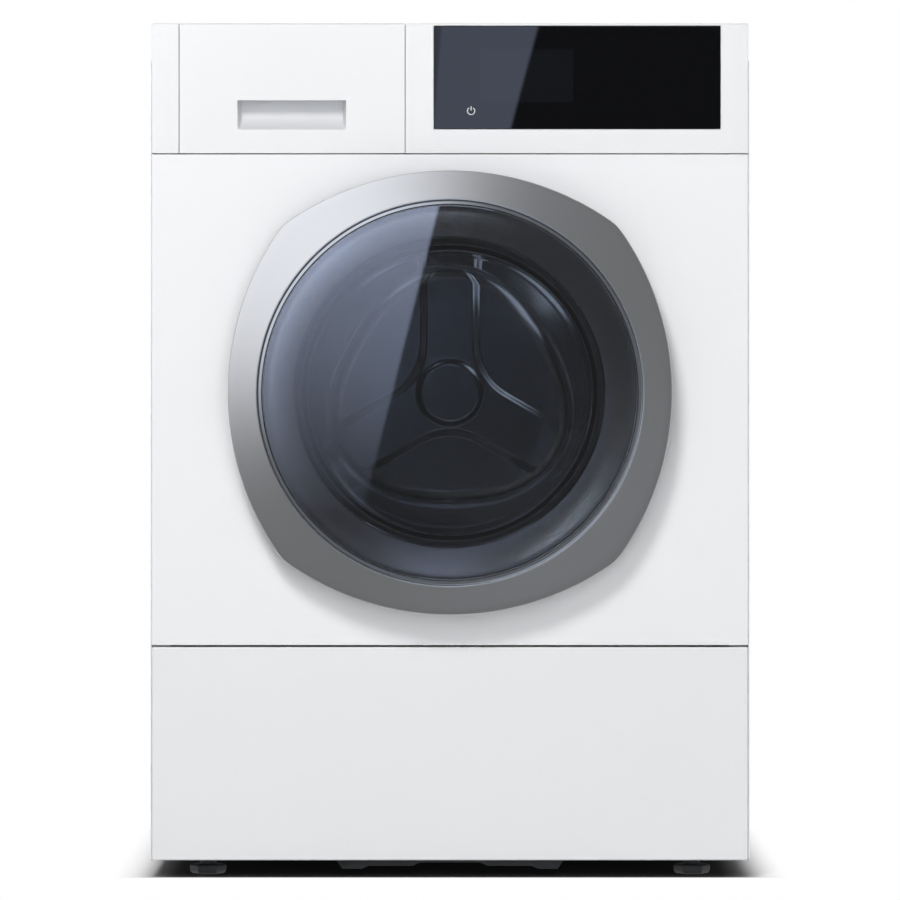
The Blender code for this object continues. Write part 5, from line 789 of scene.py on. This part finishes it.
screwSet = {
    "rearScrews": ("rear_panel", [(x, z) for x in (-0.287, 0.287) for z in (0.045, 0.235, 0.425, 0.615, 0.79)]
                   + [(x, 0.798) for x in (-0.110, 0.0, 0.110)], 0.0040, "steel"),
    "coverScrews": ("service_cover", [(x, z) for x in (-0.1790, 0.1790) for z in (0.150, 0.370, 0.590)]
                    + [(x, z) for x in (-0.060, 0.060) for z in (0.076, 0.664)], 0.0036, "steel"),
    "worktopScrews": ("worktop", [(-0.225, 0.829), (0.225, 0.829)], 0.0042, "steel"),
    "doorFrameScrews": ("door_frame",
                        [(0.212 * cos(radians(d)), doorZ + 0.212 * sin(radians(d)))
                         for d in (28, 68, 112, 152, 208, 248, 292, 332)], 0.0036, "darkSteel"),
}
screwFrom = 0.6  # y behind every node, where the rays that seat the screws start
screwHead = [(1.0, -0.02, False), (1.0, 0.16, False), (0.94, 0.28, False), (0.78, 0.38, False),
             (0.60, 0.42, False), (0.50, 0.42, True), (0.46, 0.14, True)]


def addScrews(name, node, spots, radius, look):
    # Pan heads with a cross recess, each seated where a ray from behind meets the node
    bm = bmesh.new()
    turn = Vector((0, 1, 0)).to_track_quat("Z", "X").to_matrix().to_4x4()
    for x, z in spots:
        seat = hitOn(node, (x, screwFrom, z), (0, -1, 0))
        if seat is None:
            continue
        head = bmesh.ops.create_circle(bm, cap_ends=True, radius=radius, segments=24)["verts"]
        made = list(head)
        edges = edgesOf(head)
        for index, (share, height, cross) in enumerate(screwHead):
            if index:
                head, edges = growLoop(bm, edges)
                made += head
            for vert in head:
                angle = atan2(vert.co.y, vert.co.x)
                reach = share * (0.34 + 0.66 * cos(2 * angle) ** 4) if cross else share
                reach *= radius
                vert.co = Vector((reach * cos(angle), reach * sin(angle), radius * height))
        bmesh.ops.contextual_create(bm, geom=edges)
        bmesh.ops.transform(bm, matrix=Matrix.Translation(seat) @ turn, verts=made)
    addPiece(name, bm, look, node, "bright_steel", 32.0)


capSet = {"across": (-0.236, 0.236), "upward": (0.190, 0.640), "steps": 48,
          "profile": ((0.0, 0.3070), (0.0085, 0.3070), (0.0098, 0.3076), (0.0105, 0.3092), (0.0125, 0.3096),
                      (0.0140, 0.3090), (0.0146, 0.3078), (0.0160, 0.3066), (0.0165, 0.3056),
                      (0.0165, 0.3052), (0.0, 0.3052))}


def makeTransportCaps(look):
    # Plugs over the transport bolt holes, dished with a raised rim
    bm = bmesh.new()
    for z in look["upward"]:
        for x in look["across"]:
            spinProfile(look["profile"], look["steps"], (x, 0, z), bm)
    addPiece("transportCaps", bm, "greyPlastic", "rear_panel", "grey_plastic", 38.0)


ridgeSet = {
    "valveThread": {"node": "inlet_valve", "centre": (-0.180, 0, 0.765), "inner": 0.0133, "outer": 0.0143,
                    "start": 0.3088, "end": 0.3195, "count": 6, "flat": 0.42, "finish": "palePlastic"},
    "outletBarbs": {"node": "drain_outlet", "centre": (0.215, 0, 0.700), "inner": 0.0116, "outer": 0.0127,
                    "start": 0.3065, "end": 0.3190, "count": 4, "flat": 0.10, "finish": "greyPlastic"},
}


def makeRidges(name, look):
    # Ridged sleeve: pipe thread or hose barbs
    inner, outer, start, flat = pick(look, "inner outer start flat")
    pitch = (look["end"] - start) / look["count"]
    profile = [(inner, start)]
    for index in range(look["count"]):
        near = start + pitch * index
        profile += [(inner + 0.00015, near), (outer, near + pitch * flat),
                    (outer, near + pitch * (flat + 0.16)), (inner + 0.00015, near + pitch * 0.94)]
    profile.append((inner, look["end"]))
    bm = spinProfile(profile, 64, look["centre"])
    addPiece(name, bm, look["finish"], look["node"], slotOf[look["node"]], 30.0)


footSet = {"pad": ((0.0150, 0.0), (0.0168, 0.0004), (0.0185, 0.0030), (0.0185, 0.0078), (0.0172, 0.0094)),
           "neck": ((0.0080, 0.0088), (0.0082, 0.0150), (0.0076, 0.0158)), "edge": 0.0006, "pitch": 0.0015,
           "root": 0.86, "tip": 0.80}


def stackRings(bm, sides, centre, rings):
    # A closed solid with a polygon for each (radius, height)
    verts = bmesh.ops.create_circle(bm, cap_ends=True, radius=1.0, segments=sides)["verts"]
    turns = {vert: atan2(vert.co.x, -vert.co.y) for vert in verts}
    edges = edgesOf(verts)
    for index, (radius, height) in enumerate(rings):
        if index:
            turned = {tuple(round(value, 6) for value in vert.co): turns[vert] for vert in turns}
            verts, edges = growLoop(bm, edges)
            turns = {vert: turned[tuple(round(value, 6) for value in vert.co)] for vert in verts}
        for vert in verts:
            turn = turns[vert]
            vert.co = Vector(centre) + Vector((radius * cos(turn), radius * sin(turn), height))
    bmesh.ops.contextual_create(bm, geom=edges)


def makeFoot(node, look):
    # Six-sided pad, round neck and threaded stud
    low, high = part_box(node)
    middle = Vector(((low.x + high.x) / 2, (low.y + high.y) / 2, low.z))
    tall, pitch = high.z - low.z, look["pitch"]
    stud = hitOn(node, middle + Vector((0.1, 0, tall - 0.004)), (-1, 0, 0)).x - middle.x
    bm = bmesh.new()
    stackRings(bm, 6, middle, look["pad"])
    roundEdges(bm, [e for e in bm.edges if isSharp(e)], look["edge"])
    stackRings(bm, 40, middle, look["neck"])
    start = look["neck"][-1][1] - 0.0010
    turns = int((tall - start) / pitch)
    rings = [(stud * look["root"], start)]
    for index in range(turns):
        near = start + pitch * index
        rings += [(stud * look["root"], near + pitch * 0.2), (stud, near + pitch * 0.6)]
    rings += [(stud * look["root"], start + pitch * turns), (stud * look["tip"], tall)]
    stackRings(bm, 32, middle, rings)
    addPiece(node + "_detail", bm, "footPlastic", node, sharp=32.0, flat=True)


insertSet = {"x": -0.0838, "lid": ((0.0440, 0.0700, 0.0026), -0.1500, 0.0140, 0.0011),
             "tab": ((0.0180, 0.0050, 0.0100), -0.1730, 0.0085, 0.0016),
             "tubeY": -0.1370, "tubeLow": 0.0075, "tubeHigh": 0.0070, "tubeShort": 0.0240, "tubeDrop": 0.0040}


def makeTrayInsert(look):
    # Siphon lid that drops into the tray's softener compartment, with its tube and finger tab
    low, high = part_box("drawer_tray")
    bm = bmesh.new()
    for size, y, drop, edge in pick(look, "lid tab"):
        cube = bmesh.ops.create_cube(bm, size=1.0)["verts"]
        bmesh.ops.scale(bm, vec=size, verts=cube)
        bmesh.ops.translate(bm, vec=(look["x"], y, high.z - drop), verts=cube)
        roundEdges(bm, edgesOf(cube), edge, 3)
    tube = bmesh.ops.create_cone(bm, cap_ends=True, radius1=look["tubeLow"], radius2=look["tubeHigh"],
                                 depth=high.z - low.z - look["tubeShort"], segments=40)["verts"]
    middle = (high.z + low.z) / 2 - look["tubeDrop"]
    bmesh.ops.translate(bm, vec=(look["x"], look["tubeY"], middle), verts=tube)
    addPiece("trayInsert", bm, "insertPlastic", "drawer_tray", "pale_plastic", flat=True)


for name, row in screwSet.items():
    addScrews(name, *row)
makeTransportCaps(capSet)
for name, look in ridgeSet.items():
    makeRidges(name, look)
for node in ("foot_front_left", "foot_front_right", "foot_rear_left", "foot_rear_right"):
    makeFoot(node, footSet)
makeTrayInsert(insertSet)
print("fastenings and fittings made")


# Studio: floor, background, lamps and the wall that the gloss sees

def addStage(name, half, matrix):
    # A large square with a bare material; gives the object and its node tree
    bm = bmesh.new()
    bmesh.ops.create_grid(bm, x_segments=1, y_segments=1, size=half, matrix=matrix)
    material, tree, _ = newMaterial(name)
    tree.nodes.clear()
    stage = addObject(name, bm, material)
    return stage, tree


floorSet = {"half": 9.0, "side": 0.290, "back": 0.297, "front": -0.273, "frontCrisp": 10.0,
            "shade": (-0.020, 0.030), "paintedShadeColour": 0.13, "light": 0.86, "glowEnd": 0.050}


def makeFloor(look):
    # White floor with a painted shadow, dark under the machine, crisp along the front and soft at the sides
    # and the back
    floor, tree = addStage("studioFloor", look["half"], Matrix())
    x, y, _ = axesOf(objectPlace(tree))
    gap = (x.maths("ABSOLUTE") - look["side"]).maths("MAXIMUM", y - look["back"])
    gap = gap.maths("MAXIMUM", (look["front"] - y) * look["frontCrisp"])
    # Painted shadow: the floor's colour goes dark under the machine
    colour = blendColours(smoothRange(gap, *look["shade"]), [look["paintedShadeColour"]] * 3, [look["light"]] * 3)
    paint = addNode(tree, "BsdfDiffuse", {"Color": colour})
    glow = addNode(tree, "Emission", {"Color": (1, 1, 1, 1)})
    rays = addNode(tree, "LightPath", {})
    seen = Wire(rays, "Is Camera Ray").maths("MAXIMUM", Wire(rays, "Is Transmission Ray"))
    mixed = mixShaders(smoothRange(gap, 0.0, look["glowEnd"]) * seen, paint, glow)
    addNode(tree, "OutputMaterial", {"Surface": mixed})
    floor.visible_glossy = False


worldSet = {"tint": (0.97, 0.985, 1.0, 1), "ambient": 0.14, "gloss": 0.45}


def makeWorld(look):
    # Faint light all round; white where the camera looks, and partly so in gloss
    world = bpy.data.worlds.new("studio")
    world.use_nodes = True
    scene.world = world
    tree = world.node_tree
    tree.nodes.clear()
    plain = addNode(tree, "Background", {"Color": look["tint"], "Strength": look["ambient"]})
    white = addNode(tree, "Background", {"Color": (1, 1, 1, 1)})
    rays = addNode(tree, "LightPath", {})
    seen = (Wire(rays, "Is Glossy Ray") * look["gloss"]).maths("MAXIMUM", Wire(rays, "Is Transmission Ray"))
    seen = Wire(rays, "Is Camera Ray").maths("MAXIMUM", seen)
    addNode(tree, "OutputWorld", {"Surface": mixShaders(seen, plain, white)})


# The wall's z and reach count from the door's axis, and its turns are in degrees. Lines are (z, slope, x),
# strips are (middle, half, near, far, level)
wallSet = {"y": -3.52, "half": 16.0, "grey": (0.85, 1.35, 0.045, 0.216), "boxMiddle": 132,
           "boxRise": (-60, -20), "boxDim": (-10, 40), "boxDimTo": 0.87, "boxFall": (28, 70),
           "boxNear": (1.25, 1.6), "boxFar": (9.0, 11.0), "boxLight": (1.16, 1.17, 1.21),
           "glassLine": (0.5715, 0.264, 0.1373), "paneLine": (0.2879, 0.25, -0.0187), "lineSoft": 0.004,
           "paneTop": (0.357, 0.358), "paneRange": (-0.19, 0.22), "paneShare": 0.50, "paneEnd": (0.31, 0.34),
           "glassStart": (-0.10, -0.06), "glassEnd": (0.85, 1.2), "rim": (0.236, 0.285), "rimGain": 0.86,
           "rimTop": (0.20, 0.28, 0.55), "farLine": (0.5765, 0.072, -0.0141), "farSoft": 0.003,
           "farLoss": 0.42, "glow": (1.25, 1.45, 2.00), "streakLine": (0.315, 0.253, -0.546),
           "streakHalf": (0.02, 0.07), "streakRise": (0.15, 0.60), "streakFall": (0.78, 0.96), "streak": 5.6,
           "stripLight": (0.80, 0.90, 1.0), "stripSoft": (12, 0.05),
           "strips": ((80, 60, 0.70, 1.20, 0.30), (-50, 56, 0.78, 1.25, 2.05))}


def makeStudioWall(look):
    # Behind the camera, seen only in gloss: grey, darker in the middle, with a tall softbox at the left
    wall, tree = addStage("studioWall", look["half"], facing((0, look["y"], 0)))
    x, _, height = axesOf(objectPlace(tree))
    z = height - doorZ
    reach = (x * x + z * z).maths("SQRT")

    def turnFrom(middle):
        lean = radians(middle)
        forward = x * cos(lean) + z * sin(lean)
        sideways = x * -sin(lean) + z * cos(lean)
        return sideways.maths("ARCTAN2", forward)

    def offLine(key):
        middle, slope, place = look[key]
        return x - ((z - middle) * slope + place)

    grey = smoothRange(reach, *look["grey"])
    # The softbox as the ring sees it
    turn = turnFrom(look["boxMiddle"])
    rise, dim, fall = [map(radians, pair) for pair in pick(look, "boxRise boxDim boxFall")]
    box = smoothRange(turn, *rise) * (smoothFall(turn, *dim, look["boxDimTo"]) * smoothFall(turn, *fall))
    box = box * smoothRange(reach, *look["boxNear"]) * smoothFall(reach, *look["boxFar"])
    # Its near edge as the control glass sees it, above, and the pane, below
    above = smoothRange(z, *look["paneTop"])
    below = 1.0 - above
    past = offLine("glassLine") * above + offLine("paneLine") * below
    share = look["paneShare"]
    level = smoothRange(z, *look["paneRange"], 0.0, share, "LINEAR") + above * (1.0 - share)
    shine = smoothFall(past, -look["lineSoft"], look["lineSoft"]) * level
    inPane = smoothFall(reach, *look["paneEnd"])
    shine = shine * inPane.maths("MAXIMUM", above * smoothRange(x, *look["glassStart"]))
    shine = shine * smoothFall(reach, *look["glassEnd"])
    # Stronger where the pane is printed dark behind, outside the bowl
    gain = smoothRange(reach, *look["rim"], 0.0, look["rimGain"]) * smoothFall(z, *look["rimTop"])
    shine = shine * (gain * below + 1.0)
    # The control glass shows the softbox's far edge too
    beyond = smoothRange(offLine("farLine"), -look["farSoft"], look["farSoft"], look["farLoss"], 0.0)
    shine = shine * (1.0 - beyond * above)
    # A narrow strip that draws the streak on the band, and arcs that the band and the bowl catch
    strips = (smoothFall(offLine("streakLine").maths("ABSOLUTE"), *look["streakHalf"])
              * (smoothRange(z, *look["streakRise"]) * smoothFall(z, *look["streakFall"])) * look["streak"])
    softTurn, soft = look["stripSoft"]
    for middle, half, near, far, level in look["strips"]:
        swing = turnFrom(middle).maths("ABSOLUTE")
        strip = smoothFall(swing, radians(half - softTurn), radians(half))
        strip = strip * smoothRange(reach, near, near + soft) * smoothFall(reach, far - soft, far)
        strips = strips + strip * level
    total = None
    for factor, colour in ((grey, (1.0, 1.0, 1.0)), (box, look["boxLight"]), (shine, look["glow"]),
                           (strips, look["stripLight"])):
        tint = (*[value / max(colour) for value in colour], 1)
        light = Wire(addNode(tree, "Emission", {"Color": tint, "Strength": factor * max(colour)}))
        total = light if total is None else Wire(addNode(tree, "AddShader", {0: total, 1: light}))
    addNode(tree, "OutputMaterial", {"Surface": total})
    wall.visible_camera = False
    wall.visible_diffuse = False
    wall.visible_shadow = False


# Lamps: place, aim, size, power, colour, and whether gloss sees them
lamps = {
    "keyLamp": ((-0.70, -2.62, 2.6), (0, 0, 0.5), 0.85, 57.0, (1.0, 0.995, 0.985), False),
    "frontLamp": ((0.4, -4.2, 1.35), (0, 0, 0.42), 2.7, 48.0, (0.985, 0.99, 1.0), False),
    "topLamp": ((-0.4, 0.6, 2.8), (0, 0, 0.6), 1.6, 10.0, (1, 1, 1), False),
    "leftLamp": ((-3.0, 0.4, 1.4), (0, 0, 0.4), 2.0, 20.0, (1, 1, 1), False),
    "rightLamp": ((3.0, 0.4, 1.4), (0, 0, 0.4), 2.0, 20.0, (1, 1, 1), False),
    "rearLamp": ((0.6, 3.2, 1.5), (0, 0, 0.4), 2.0, 26.0, (1, 1, 1), False),
    "innerRight": ((0.128, -0.05, doorZ + 0.140), (0, 0.14, doorZ), 0.10, 0.036, (0.80, 0.88, 1.0), True),
    "innerLeft": ((-0.085, -0.05, doorZ + 0.170), (0, 0.14, doorZ), 0.07, 0.009, (0.80, 0.88, 1.0), True),
}


def addLamp(name, place, aim, size, power, colour, glossy):
    data = bpy.data.lights.new(name, "AREA")
    data.shape = "SQUARE"
    data.size = size
    data.energy = power
    data.color = colour
    lamp = bpy.data.objects.new(name, data)
    lamp.location = place
    lamp.rotation_euler = (Vector(aim) - Vector(place)).to_track_quat("-Z", "Y").to_euler()
    lamp.visible_glossy = glossy
    lamp.visible_camera = False
    lamp.visible_transmission = False
    scene.collection.objects.link(lamp)


makeFloor(floorSet)
makeWorld(worldSet)
makeStudioWall(wallSet)
for name, row in lamps.items():
    addLamp(name, *row)
print("studio made")
